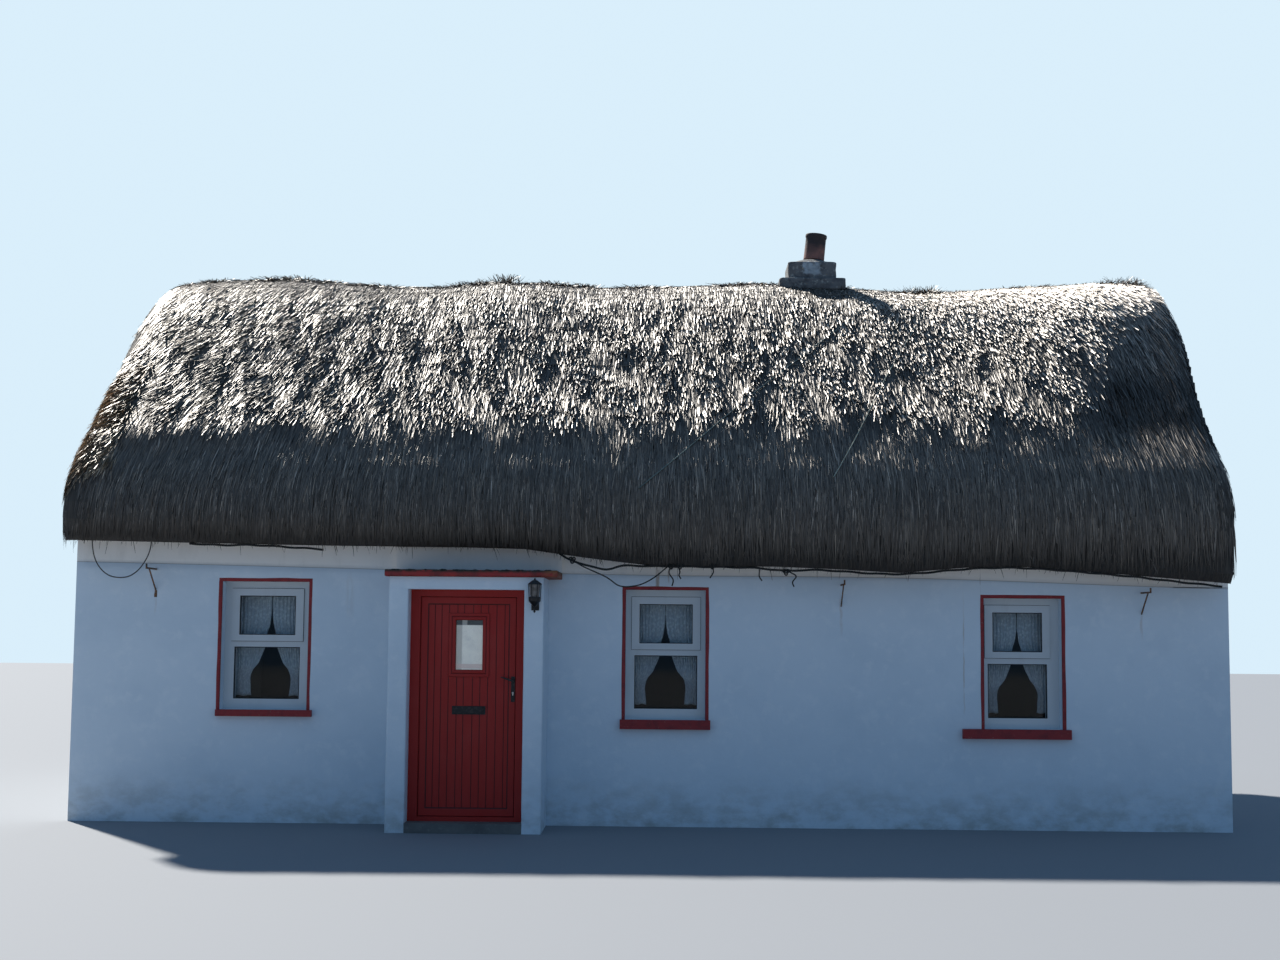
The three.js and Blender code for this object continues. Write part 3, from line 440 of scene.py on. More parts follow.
rng = np.random.default_rng(STRAW_SEED)


def field_of_straws(gap, pitch, t_from, t_to, u_from, u_to, jitter=0.5):
    """Roots in rows down the slope: even steps along each row and between rows, each moved by up to jitter steps."""
    rows, count = int((t_to - t_from) / pitch), int((u_to - u_from) / gap)
    u = np.linspace(u_from, u_to, count) + rng.uniform(-jitter, jitter, (rows, count)) * (u_to - u_from) / count
    t = t_from + pitch * (np.arange(rows)[:, None] + rng.uniform(-jitter, jitter, (rows, count)))
    return u.ravel(), t.ravel()


def cut_at(edge, u, t, shortest, longest, ragged):
    """Straws of random lengths, cut off raggedly at an edge down the slope. Those under 5 cm are dropped."""
    length = np.minimum(rng.uniform(shortest, longest, len(u)), edge + rng.normal(0, ragged, len(u)) - t)
    kept = length > 0.05
    return u[kept], t[kept], length[kept]


def combed(u, t):
    """Heading of the straw, combed out over both gable ends: most on the left, and near the ridge on the right."""
    left = -0.28 * rising(u, -1.6, -2.6) ** 0.9 * np.interp(t, [0, 1.0, 2.4, 3.2], [0.7, 1, 1.2, 0.3])
    return left + 0.24 * rising(u, 2.6, 2.0) * np.interp(t, [0.3, 2.4], [1, 0.1])


def share_of_tips(u, t):
    """How thickly raised tips stand on the slope, from 0 to 1: patches half a metre wide that thin out towards the
    steep lower face, which they reach only at the left end, and in the hollow near the right end."""
    patches = 0.25 - 0.06 * rising(u, -1, -1) + 2.5 * ripple(24, 0.45, u, 0.45 * t, 2)
    lowest = brow(u) + 0.10 + 0.22 * ripple(25, 0.4, u, 0, 2) + 0.8 * rising(u, -4.2, -0.6)
    hollow = rising(u, hollow_from(t), 0.25) * rising(t, 0.35, 0.25)
    near_ridge = 0.22 * np.clip(1 - t / 0.8, 0, 1) + 1.3 * rising(u, LIT_FROM, 1.0) * rising(t, 1.8, -1)
    return (np.clip(patches, 0.04, 1) + near_ridge) * rising(t, lowest, -0.30) * (1 - hollow)


def sunlit_end(u, t):
    """The sunlit straw near the ridge at the right end, from 0 to 1. Straw there is also painted lighter: painted
    sunlight.
    """
    return rising(u, LIT_FROM, 1.2) * rising(t, 1.6, -1)


def browned(u):
    """How brown the straw is: a little everywhere, and more towards the left end."""
    return np.clip(0.10 + 0.20 * rng.random(len(u)) + 0.60 * rising(u, -3.2, -1.4) * rng.random(len(u)), 0, 1)


BAYS = np.linspace(LEFT_END, RIGHT_END, 5)
for bay, (u0, u1) in enumerate(zip(BAYS, BAYS[1:]), 1):
    # Upper slope: short flat straws laid over one another
    u, t = field_of_straws(0.0115, 0.070, -0.25, 3.25, u0, u1)
    n = len(u)
    in_hollow = rising(u, hollow_from(t), 0.3)
    lift = np.clip(0.006 + 0.004 * ripple(21, 0.26, u, t, 2) + 0.003 * rng.standard_normal(n), 0.001, 0.02)
    # Tone carries painted shade and light. Straw below the brow is painted darker as painted shade. Straw in the
    # right-end hollow is painted lighter down to t = 1.9, as painted skylight in its shade, and darker below that as
    # painted shade. Straw at the sunlit right end near the ridge is painted lighter as painted sunlight.
    painted_shade_and_light = (np.clip((t - brow(u) + 0.35) / 0.5, 0, 1)
              - 1.8 * in_hollow * np.interp(t, [0.3, 0.6, 1.9, 2.3], [0, 1, 1, -0.6]))
    tone = (0.27 + 0.13 * np.clip(share_of_tips(u, t), 0, 1) + 0.07 * ripple(22, 0.7, u, t)
            + 0.15 * rng.standard_normal(n))
    at_top = np.clip(1 - t / 0.7, 0, 1) * (1 - rising(u, LIT_FROM, 1.2))
    tone = np.clip(tone - 0.16 * np.clip(painted_shade_and_light, -1.8, 1) - 0.04 * at_top
                   + 0.34 * sunlit_end(u, t) * (1 - np.clip(painted_shade_and_light, 0, 1)), 0, 1)
    heading = combed(u, t) + 0.07 * ripple(23, 0.8, u, t) + 0.07 * rng.standard_normal(n)
    strands(f"thatch_front_upper_{bay}", -1, u, t, heading, rng.uniform(0.18, 0.32, n), rng.uniform(0.006, 0.011, n),
            lift, rng.uniform(-0.4, 0.4, n) - 0.24 - 0.06 * u + 0.8 * in_hollow * rising(t, 0.4, 0.4), tone, browned(u))
    # Raised tips: where the surface has weathered, the ends of the straws stand up and catch the light
    u, t = field_of_straws(0.0125, 0.050, -0.20, 3.3, u0, u1, jitter=1.0)
    kept = rng.random(len(u)) < share_of_tips(u, t)
    u, t = u[kept], t[kept]
    n = len(u)
    sunlit_part = sunlit_end(u, t)
    length = rng.uniform(0.09, 0.20, n) * np.interp(t, [0, 0.8], [0.7, 1])
    raised = np.interp(t, [0, 0.3, 0.6, 1.0, 1.5], [-0.02, 0.0, 0.04, 0.11, 0.17]) + 0.05 * sunlit_part
    lift = length * np.clip(raised + rng.uniform(-0.05, 0.11, n), 0.005, None)
    # Tips at the sunlit right end are painted lighter: painted sunlight.
    tone = np.clip(rng.normal(0.785, 0.17, n) + 0.22 * sunlit_part - 0.03 * rising(u, LIT_FROM, -1)
                   - 0.03 * rising(t, 0.8, 1) - 0.07 * rising(u, -0.8, -1) * rising(t, 0.3, 1), 0.2, 1)
    heading = combed(u, t) + 0.07 * ripple(23, 0.8, u, t) + 0.085 * rng.standard_normal(n)
    twist = rng.uniform(-0.40, 0.40, n) - 0.36 - 0.08 * u
    strands(f"thatch_front_tips_{bay}", -1, u, t, heading, length, rng.uniform(0.008, 0.015, n) + 0.004 * sunlit_part,
            lift, twist, tone, browned(u), curl=1.2, sink=0.004)
    # Lower face and eave: long fine straws that hang straight down, darker towards the very edge
    u, t = field_of_straws(0.0085, 0.075, 2.95, 4.3, u0, u1, jitter=1.0)
    u, t, length = cut_at(eave_at(u) + 0.048 + 0.03 * ripple(31, 0.22, u), u, t, 0.22, 0.5, 0.018)
    n = len(u)
    tone = np.clip(0.53 + 0.10 * ripple(32, 0.14, u, 0.15 * t, 2) + 0.15 * rng.standard_normal(n), 0, 1)
    heading = combed(u, t) + 0.07 * rng.standard_normal(n)
    strands(f"thatch_front_lower_{bay}", -1, u, t, heading, length, rng.uniform(0.005, 0.009, n),
            rng.uniform(0.001, 0.014, n), rng.uniform(-0.6, 0.6, n), tone, 0.2 + 0.3 * rng.random(n),
            stations=LONG_STRAW)

# Eave fringe: single stalks that have slipped and hang below the cut edge, thin, dry and pale
n = 900
u = rng.uniform(-5.0, 4.93, n)
strands("thatch_eave_fringe", -1, u, eave_at(u) + rng.uniform(-0.12, 0.02, n), rng.normal(0, 0.35, n),
        0.09 + 0.09 * rng.random(n) ** 2.5, rng.uniform(0.003, 0.005, n), rng.uniform(-0.02, 0.02, n),
        rng.uniform(-0.8, 0.8, n), rng.uniform(0.5, 0.95, n), rng.uniform(0.2, 0.6, n), stations=LONG_STRAW)

# Ridge: straw bent over the top from both sides, with wisps that the wind has lifted
n = 9000
u = rng.uniform(-5.0, 4.95, n)
t = rng.normal(0, 0.10, n)
shaggy = np.clip(0.5 + ripple(26, 0.7, u), 0.05, 1.6)
strands("thatch_ridge", -1, u, t, combed(u, t) + rng.normal(0, 0.8, n), rng.uniform(0.08, 0.22, n),
        rng.uniform(0.006, 0.012, n), 0.002 + 0.050 * shaggy * rng.random(n) ** 2, rng.uniform(-0.8, 0.8, n),
        np.clip(rng.normal(0.52, 0.2, n), 0, 1), rng.uniform(0.1, 0.5, n))
TUFTS = np.array([(-1.55, 0.10), (-4.55, 0.05), (2.80, 0.10), (-0.70, 0.05), (0.90, 0.04), (4.80, 0.10), (-3.4, 0.04),
                  (2.60, 0.06)])  # place along the ridge, and height
n = 900
tuft_u, tuft_height = TUFTS[rng.integers(0, len(TUFTS), n)].T
strands("thatch_ridge_tufts", -1, tuft_u + rng.normal(0, 0.07, n), rng.normal(0, 0.05, n), rng.uniform(-1.9, 1.9, n),
        rng.uniform(0.06, 0.16, n), rng.uniform(0.004, 0.009, n), tuft_height * rng.uniform(0.3, 1.0, n),
        rng.uniform(-0.8, 0.8, n), rng.uniform(0.3, 0.8, n), rng.uniform(0.3, 0.7, n), stations=LONG_STRAW)

# Left verge: a bundle of newer, tanner straw rolled over the lower part of the edge
n = 2600
t = rng.uniform(2.0, 3.6, n)
u = -5.04 + 0.36 * rng.random(n) ** 1.6 + 0.03 * ripple(27, 0.4, t)
length = rng.uniform(0.12, 0.30, n)
strands("thatch_left_roll", -1, u, t, rng.normal(-0.25, 0.25, n), length, rng.uniform(0.006, 0.012, n),
        length * rng.uniform(0.04, 0.26, n), rng.uniform(-0.9, 0.1, n), np.clip(rng.normal(0.90, 0.10, n), 0, 1),
        rng.uniform(0.5, 0.9, n), stations=LONG_STRAW, sink=0.006)


# Right verge: the straw's cut ends, laid in courses whose tops step out a few centimetres beyond the gable
def verge_straws(name, side, count):
    """Short straws over the gable end of the thatch. Each starts on the end face, at t down the slope and at a
    depth below the outer face, stands out by a saw-tooth of its course, and runs down the slope."""
    t = rng.uniform(-0.05, 4.0, count)
    depth = 0.012 + 0.40 * rng.random(count) ** 1.6
    start, out = on_face(np.full(count, RIGHT_END), t, side)
    ahead, _ = on_face(np.full(count, RIGHT_END), t + 0.05, side)
    down = unit((ahead - start) * [0, 1, 1])
    start = start - unit(out * [0, 1, 1]) * depth[:, None]
    course = (t + 0.02 * np.sin(40 * depth)) / 0.135
    step_out = np.interp(t, [0.3, 0.9, 2.8, 3.4], [0.2, 1, 1, 0.3]) * np.exp(-depth / 0.25)
    step_out = 0.006 + 0.030 * (1 - course % 1) * step_out
    length = rng.uniform(0.07, 0.13, count)
    middle = start[:, None] + down[:, None] * (length[:, None, None] * np.array([0, 0.4, 1])[:, None])
    # The end face under each point, found by a ray from outside; straws with no room inside the roof's size go
    for spot in middle.reshape(-1, 3):
        hit = roof_faces.ray_cast(Vector((6, spot[1], spot[2])), Vector((-1, 0, 0)))[0]
        spot[0] = hit.x if hit else 0
    room = cad_box[1][0] - 0.004 - middle[..., 0]
    kept = ((room > 0.008) & (room < 0.15)).all(axis=1)
    middle[..., 0] += step_out[:, None] * [0.15, 1.0, 0.8] * np.clip(room / 0.036, 0, 1)
    across = unit(np.cross(down, (1.0, 0, 0)) + rng.normal(0, 0.35, (count, 3)))
    half = 0.5 * rng.uniform(0.008, 0.015, count)[:, None] * [0.9, 1, 0.5]
    n = int(kept.sum())
    ribbons(name, middle[kept], (across[:, None] * half[..., None])[kept], rng.normal(0.36, 0.12, n),
            rng.uniform(0.1, 0.3, n), 0.0)


verge_straws("thatch_verge_front", -1, 9000)
verge_straws("thatch_verge_rear", 1, 5000)

# Rear slope: the same straw on the side away from the street, laid in longer bundles and less trodden
for bay, (u0, u1) in enumerate(((LEFT_END, -0.05), (-0.05, RIGHT_END)), 1):
    u, t = field_of_straws(0.025, 0.115, -0.25, 4.3, u0, u1)
    u, t, length = cut_at(eave_at(u) + 0.055, u, t, 0.28, 0.5, 0.012)
    n = len(u)
    tone = np.clip(0.55 + 0.1 * ripple(41, 0.4, u, t) + 0.15 * rng.standard_normal(n), 0, 1)
    lift = np.clip(0.016 + 0.012 * ripple(42, 0.3, u, t, 2) + 0.006 * rng.standard_normal(n), 0.003, 0.05)
    strands(f"thatch_rear_{bay}", 1, u, t, combed(u, t) + 0.1 * rng.standard_normal(n), length,
            rng.uniform(0.012, 0.024, n), lift, rng.uniform(-0.5, 0.5, n), tone, 0.15 + 0.25 * rng.random(n),
            stations=LONG_STRAW)

# Straw body: the imported straw seen between the strands and on the cut gable ends. It is coloured dark, as
# painted shade of the depths between the strands, streaked down the slope, and speckled with the ends of
# stalks where it is cut.


def dress(look, *nodes):
    """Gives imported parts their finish."""
    for name in nodes:
        for place in cad[name].material_slots:
            place.material = look


def axes_of(vector):
    """The X, Y and Z of a vector."""
    return node_in(vector.id_data, "SeparateXYZ", {"Vector": vector}).node.outputs


def risen(value, start, end, low=0.0, high=1.0, **settings):
    """A value carried over from the range start to end to the range low to high, and held at its ends."""
    sockets = {"Value": value, "From Min": start, "From Max": end, "To Min": low, "To Max": high}
    return node_in(value.id_data, "MapRange", sockets, **settings)


def scaled(where, *scale):
    """Coordinates drawn together by a scale on each axis."""
    return node_in(where.id_data, "Mapping", {"Vector": where, "Scale": scale})


def bumped(height, strength, distance, *under):
    """A normal bent by a height, over one that is bent already."""
    sockets = {"Strength": strength, "Distance": distance, "Height": height}
    return node_in(height.id_data, "Bump", sockets | {"Normal": normal for normal in under})


packed, shader, where = new_finish("packed_straw", Roughness=0.85)
streaks = noise(scaled(where, 70.0, 5.0, 5.0), 1.0, 5.0)
stalks = node_in(packed.node_tree, "TexVoronoi", {"Vector": where, "Scale": 110.0}, out="Distance")
facing = axes_of(node_in(packed.node_tree, "NewGeometry", out="Normal"))
cut = risen(calc("ABSOLUTE", facing["X"]), 0.55, 0.85)
stubs = calc("MULTIPLY_ADD", stalks, -0.35, noise(where, 14.0, 7.0, 0.75))
# Near-black base: painted shade of the depths between the strands.
dark = ramp(streaks, (0, (0.010, 0.009, 0.008)), (1, (0.085, 0.074, 0.062)))
speckle = ramp(stubs, (0.22, (0.016, 0.013, 0.011)), (0.58, (0.26, 0.22, 0.17)))
feed(shader, Base_Color=painted_over(dark, speckle, cut),
     Normal=bumped(calc("MULTIPLY", stubs, cut), 1.0, 0.06, bumped(streaks, 0.8, 0.02)))
dress(packed, "thatch_roof")

# Walls: half a metre of rubble stone under smooth render, limewashed many times. The last coat stops at a line
# just under the eave, above which the wash is older and creamier.
OPENINGS = {  # left, right, sill, head
    "left": (-3.720, -2.957, 0.966, 2.076), "middle": (-0.205, 0.493, 0.911, 2.031),
    "right": (2.890, 3.566, 0.858, 1.984), "back_left": (-3.360, -2.660, 0.911, 2.031),
    "back_right": (2.660, 3.360, 0.911, 2.031),
}
WALL_FACE = 2.700
HALF_LENGTH = 5.0
GABLE_EAVE = 2.45
EDGE_DEPTH = 0.0003
PORCH_SIDES = (-2.157, -0.873)
WASH_LINE = ((-5.0, 2.236), (-4.36, 2.226), (-0.082, 2.157), (2.172, 2.150), (4.759, 2.084), (5.0, 2.080))
WASH_LEVEL = 2.155  # its mean height
WASH_FOOT = 1.7  # what the curve of the wash line is measured from


def new_group(name, **inputs):
    """A shader node group that puts out one mask. Each input has its default, or None for a vector. Returns the
    group, the inputs as its nodes see them and the socket that takes the mask."""
    group = bpy.data.node_groups.new(name, "ShaderNodeTree")
    for key, value in inputs.items():
        kind = "NodeSocketVector" if value is None else "NodeSocketFloat"
        socket = group.interface.new_socket(key, in_out="INPUT", socket_type=kind)
        if value is not None:
            socket.default_value = value
    group.interface.new_socket("Mask", in_out="OUTPUT", socket_type="NodeSocketFloat")
    return group, group.nodes.new("NodeGroupInput").outputs, group.nodes.new("NodeGroupOutput").inputs["Mask"]


# One at values between Low and High, and zero beyond, with edges as wide as Soft
between, given, mask = new_group("between", Value=0.0, Low=0.0, High=1.0, Soft=0.01)
rise, fall = (risen(given["Value"], given[end], calc(way, given[end], given["Soft"]), interpolation_type="SMOOTHSTEP")
              for end, way in (("Low", "ADD"), ("High", "SUBTRACT")))
plug(mask, calc("MULTIPLY", rise, fall))

# Blotches: soft patches of a noise above a level, for damp, dirt, wear and lichen
blotches, given, mask = new_group("blotches", Vector=None, Scale=4.0, Level=0.5, Soft=0.1, Stretch=1.0)
x, y, z = axes_of(given["Vector"])
drawn = node_in(blotches, "CombineXYZ", {"X": x, "Y": y, "Z": calc("DIVIDE", z, given["Stretch"])})
plug(mask, risen(noise(drawn, given["Scale"], 6.0, 0.6), given["Level"],
                 calc("ADD", given["Level"], given["Soft"]), interpolation_type="SMOOTHSTEP"))


def within(value, low, high, soft):
    """A mask of the values between low and high."""
    return node_in(value.id_data, "Group", {"Value": value, "Low": low, "High": high, "Soft": soft},
                   node_tree=between)


def blotched(where, scale, level=0.5, soft=0.1, stretch=1.0):
    """A mask of blotches, stretched upwards."""
    sockets = {"Vector": where, "Scale": scale, "Level": level, "Soft": soft, "Stretch": stretch}
    return node_in(where.id_data, "Group", sockets, node_tree=blotches)


def patched(where, base, *layers):
    """A base colour under layers of blotches, each given by its colour, its amount and what blotched takes."""
    for colour, amount, *patches in layers:
        base = painted_over(base, colour, blotched(where, *patches), amount)
    return base


def times(a, b):
    """The product of two masks."""
    return calc("MULTIPLY", a, b)


limewash, shader, where = new_finish("limewash", Roughness=0.88)
x, y, z = axes_of(where)
line_height = node_in(limewash.node_tree, "FloatCurve", {"Value": risen(x, -HALF_LENGTH, HALF_LENGTH)})
curve = line_height.node.mapping.curves[0]
spots = [((at + HALF_LENGTH) / (2 * HALF_LENGTH), height - WASH_FOOT) for at, height in WASH_LINE]
curve.points[0].location, curve.points[-1].location = spots[0], spots[-1]
for spot in spots[1:-1]:
    curve.points.new(*spot)
line_height.node.mapping.update()
above = calc("SUBTRACT", calc("SUBTRACT", z, line_height), WASH_FOOT)
into_house = calc("ABSOLUTE", y)
long_wall = calc("GREATER_THAN", into_house, 2.6999)
old_coat = times(risen(above, -0.002, 0.003), long_wall)
wash = patched(where, (0.71, 0.80, 0.87), ((0.63, 0.73, 0.81), 0.6, 1.6, 0.42, 0.25),
               ((0.79, 0.86, 0.91), 0.5, 9.0, 0.5, 0.2))
wash = painted_over(wash, (0.98, 0.94, 0.88), old_coat)
wash = painted_over(wash, (0.42, 0.40, 0.36), times(blotched(where, 7.0, 0.5, 0.25, 3.0), old_coat), 0.16)
wash = painted_over(wash, (0.40, 0.33, 0.28), times(within(above, -0.006, 0.002, 0.003), long_wall), 0.7)
# Rust and rain stains that run down from the eave: x, half width, top, bottom, colour, strength
STAINS = (
    (0.070, 0.022, 2.30, 1.93, (0.36, 0.27, 0.19), 0.75), (0.165, 0.010, 2.25, 2.07, (0.30, 0.20, 0.13), 0.7),
    (2.717, 0.008, 2.14, 0.80, (0.50, 0.44, 0.37), 0.6), (2.863, 0.004, 2.32, 1.99, (0.35, 0.34, 0.33), 0.7),
    (1.662, 0.016, 2.06, 1.60, (0.45, 0.33, 0.24), 0.35), (-4.300, 0.018, 2.10, 1.75, (0.45, 0.33, 0.24), 0.3),
    (4.251, 0.016, 1.98, 1.60, (0.45, 0.33, 0.24), 0.3), (-2.60, 0.05, 2.22, 1.70, (0.56, 0.58, 0.58), 0.25),
)
shifted = calc("SUBTRACT", calc("MULTIPLY_ADD", noise(where, 9.0, 3.0), 0.03, x), 0.015)
patchy = times(blotched(where, 26.0, 0.36, 0.22, 4.0), calc("LESS_THAN", y, -2.6))
for at, half, high, low, colour, strength in STAINS:
    run = times(within(shifted, at - half, at + half, 0.7 * half), within(z, low, high, 0.35 * (high - low)))
    wash = painted_over(wash, colour, times(run, patchy), strength)
splash = times(risen(z, 0.45, 0.0), blotched(where, 5.0, 0.35, 0.4, 0.6))
wash = painted_over(wash, (0.36, 0.37, 0.34), splash, 0.75)
# Inside faces of the walls are painted near black: painted shade of the dim rooms.
indoor_shade = times(calc("LESS_THAN", calc("ABSOLUTE", x), 4.52), calc("LESS_THAN", into_house, 2.22))
wash = painted_over(wash, (0.075, 0.062, 0.050), indoor_shade, 0.93)
lumps = bumped(noise(where, 6.0, 3.0), 0.5, 0.012)
feed(shader, Base_Color=wash, Normal=bumped(noise(where, 75.0, 4.0, 0.6), 0.35, 0.003, lumps))
dress(limewash, "front_wall_left", "front_wall_right", "front_wall_over_door", "back_wall", "left_gable_wall",
      "right_gable_wall", "porch_jamb_left", "porch_jamb_right", "porch_head", "panel_over_porch", "chimney_stack")


def skin(name, grid, keep=None, flip=False, flat=False, **attributes):
    """An open surface from a grid of points, one quad between each four neighbours; keep drops quads at holes."""
    index = np.arange(grid.shape[0] * grid.shape[1]).reshape(grid.shape[:2])
    quads = np.stack([index[:-1, :-1], index[1:, :-1], index[1:, 1:], index[:-1, 1:]], axis=-1)
    quads = quads.reshape(-1, 4) if keep is None else quads[keep]
    thing = object_from(name, grid.reshape(-1, 3), quads[:, ::-1] if flip else quads, **attributes)
    if flat:
        thing.data.shade_flat()
    return thing


def cells_in(X, Z, left, right, low, high):
    """Which cells of a grid have their middle in a rectangle."""
    middle_x, middle_z = (X[1:, 1:] + X[:-1, :-1]) / 2, (Z[1:, 1:] + Z[:-1, :-1]) / 2
    return (middle_x > left) & (middle_x < right) & (middle_z > low) & (middle_z < high)


def wall_coat(name, side, seed, openings, doorway=()):
    """The limewashed face of a long wall, a few millimetres proud of the stone: depth is a sum of ripples, plus
    three millimetres below the wash line, and falls to nothing at the edges of the openings."""
    x = np.unique(np.concatenate([np.linspace(-HALF_LENGTH, HALF_LENGTH, 201), *[o[:2] for o in openings],
                                  doorway]).round(4))
    z = np.unique(np.concatenate([np.linspace(0, 2.09, 42), *[o[2:] for o in openings],
                                  (2.12, 2.1535, 2.1565, 2.19, 2.25, 2.32, 2.4, 2.449)]).round(4))
    X, Z = np.meshgrid(x, z, indexing="ij")
    line = np.interp(X, *np.array(WASH_LINE).T)
    moved = Z + (line - WASH_LEVEL) * np.interp(Z, [2.09, 2.1535, 2.1565, 2.449], [0, 1, 1, 0])
    depth = 0.003 + 0.0016 * ripple(seed, 0.9, X, Z) + 0.0030 * (Z < WASH_LEVEL)
    keep = np.ones((len(x) - 1, len(z) - 1), bool)
    for left, right, low, high in [*openings, *([(*doorway, -1, 2.6)] if doorway else [])]:
        keep &= ~cells_in(X, Z, left, right, low, high)
        depth[(X >= left - 1e-4) & (X <= right + 1e-4) & (Z >= low - 1e-4) & (Z <= high + 1e-4)] = EDGE_DEPTH
    depth[[0, -1]] = EDGE_DEPTH
    grid = np.stack([X, side * (WALL_FACE + depth), moved], axis=-1)
    fitted(skin(name, grid, keep, flip=side > 0), "house", "limewashed_stone", limewash)


def gable_coat(name, side, seed):
    """The limewashed face of a gable wall: rows of points between its two edges, from the ground to the ridge."""
    z = np.concatenate([np.linspace(0, 2.449, 45), np.linspace(2.451, 4.74, 42)])
    half = np.where(z < GABLE_EAVE, WALL_FACE, np.interp(z, [2.85, 4.75], [2.2, 0.0]))
    Y = np.linspace(-1, 1, 96)[:, None] * half[None, :]
    Z = np.broadcast_to(z, Y.shape)
    depth = 0.003 + 0.0015 * ripple(seed, 0.9, Y, Z) * rising(np.abs(Z - GABLE_EAVE), 0.01, 0.2)
    depth[[0, -1]] = EDGE_DEPTH
    grid = np.stack([side * (HALF_LENGTH + depth), Y, Z], axis=-1)
    fitted(skin(name, grid, flip=side < 0), "house", "limewashed_stone", limewash)


wall_coat("front_limewash", -1, 51, [OPENINGS[k] for k in ("left", "middle", "right")], PORCH_SIDES)
wall_coat("rear_limewash", 1, 52, [OPENINGS[k] for k in ("back_left", "back_right")])
gable_coat("left_gable_limewash", -1, 53)
gable_coat("right_gable_limewash", 1, 54)


# Window openings: the reveals are plastered and limewashed with the wall, and a narrow band of red masonry paint
# is brushed round the edge by eye, so that its width wanders. The concrete sills have the same paint.
def finish(name, base, *layers, bump=None, **sockets):
    """A whole material: a base colour under layers of blotches, as patched takes them. The four numbers of bump are
    the scale and detail of a noise, and its strength and distance."""
    made, shader, where = new_finish(name, **sockets)
    feed(shader, Base_Color=patched(where, base, *layers))
    if bump:
        feed(shader, Normal=bumped(noise(where, *bump[:2]), *bump[2:]))
    return made


red_masonry = finish("red_masonry_paint", (0.30, 0.028, 0.030), ((0.20, 0.022, 0.026), 0.8, 18.0, 0.45, 0.2),
                     ((0.34, 0.16, 0.13), 0.6, 45.0, 0.62, 0.08), bump=(120.0, 3.0, 0.4, 0.002), Roughness=0.75)
ROUND_STEP = 0.03


def swept_round(name, opening, out, depth, side, wander=0.0, seed=0):
    """A profile of (outwards, depth) carried up the left edge of an opening, along its head and down the right,
    with its corners mitred. The profile's wander widens and narrows it by eye."""
    left, right, sill, head = opening
    up = np.linspace(sill, head, int((head - sill) / ROUND_STEP))
    over = np.linspace(left, right, int((right - left) / ROUND_STEP))[1:-1]
    places = np.array([(left, v) for v in up] + [(v, head) for v in over] + [(right, v) for v in up[::-1]])
    miters = np.repeat([(-1.0, 0), (0, 1.0), (1.0, 0)], [len(up), len(over), len(up)], axis=0)
    miters[len(up) - 1] = (-1, 1)
    miters[-len(up)] = (1, 1)
    out, depth = np.array(out), np.array(depth)
    shift = wander * ripple(seed, 0.7, np.arange(len(places)) * ROUND_STEP, 0, 2)[:, None] * (out > 0.01)
    at = places[:, None, :] + miters[:, None, :] * (out + shift)[..., None]
    grid = np.stack([at[..., 0], side * (WALL_FACE + depth) + 0 * at[..., 0], at[..., 1]], axis=-1)
    return skin(name, grid, flip=side > 0)


for number, (name, opening) in enumerate(OPENINGS.items()):
    side = 1 if name.startswith("back") else -1
    reveal = swept_round(f"{name}_reveal", opening, [0.012, 0.003, -0.0015, -0.0025, -0.0025],
                         [0.0062, 0.0064, 0.0045, 0.0, -0.1245], side)
    fitted(reveal, "house", "limewashed_stone", limewash)
    if side < 0:
        band = swept_round(f"{name}_painted_band", opening,
                           [0.027, 0.026, 0.024, 0.004, -0.0015, -0.0032, -0.0034, -0.0026],
                           [0.0055, 0.0072, 0.0078, 0.0078, 0.0055, 0.001, -0.009, -0.010], side, 0.0035, 60 + number)
        fitted(band, "house", "red_painted_concrete", red_masonry)
dress(red_masonry, *[f"{name}_window_sill" for name in OPENINGS])

# Windows: white plastic frames, set back in the opening, with a top-hung sash over a fixed light. Black rubber
# gaskets hold the double glazing, and a thin black ring round the sash is painted shadow of the gap between sash
# and frame.
white_plastic, shader, where = new_finish("white_plastic")
feed(shader, Roughness=risen(noise(where, 30.0, 4.0), 0, 1, 0.3, 0.55),
     Base_Color=patched(where, (0.60, 0.635, 0.65), ((0.45, 0.465, 0.46), 0.5, 5.0, 0.5, 0.3, 2.5)))
dress(white_plastic, *[f"{name}_window_{part}" for name in OPENINGS for part in ("frame", "sash")])

pane, shader = new_material("window_glass", Roughness=0.03, Transmission_Weight=1.0, IOR=1.24,
                            Base_Color=(0.93, 0.97, 0.96))
passing = node_in(pane.node_tree, "BsdfTransparent", {"Color": (0.90, 0.94, 0.93)})
shadow = node_in(pane.node_tree, "LightPath", out="Is Shadow Ray")
both = node_in(pane.node_tree, "MixShader", {0: shadow, 1: shader.outputs[0], 2: passing})
plug(pane.node_tree.nodes["Material Output"].inputs["Surface"], both)
dress(pane, *[f"{name}_window_glass" for name in OPENINGS], "door_glass")
smoky = finish("smoky_glass", (0.30, 0.27, 0.25), ((0.12, 0.10, 0.085), 0.8, 25.0, 0.4, 0.3), Roughness=0.25,
               Transmission_Weight=0.35, IOR=1.4)
dress(smoky, "lantern_glass")
rubber = finish("black_gasket", (0.015, 0.015, 0.016), ((0.05, 0.05, 0.05), 0.7, 20.0), Roughness=0.6)


def grown(rectangle, by):
    """A rectangle of left, right, low and high, made larger on every side."""
    left, right, low, high = rectangle
    return left - by, right + by, low - by, high + by


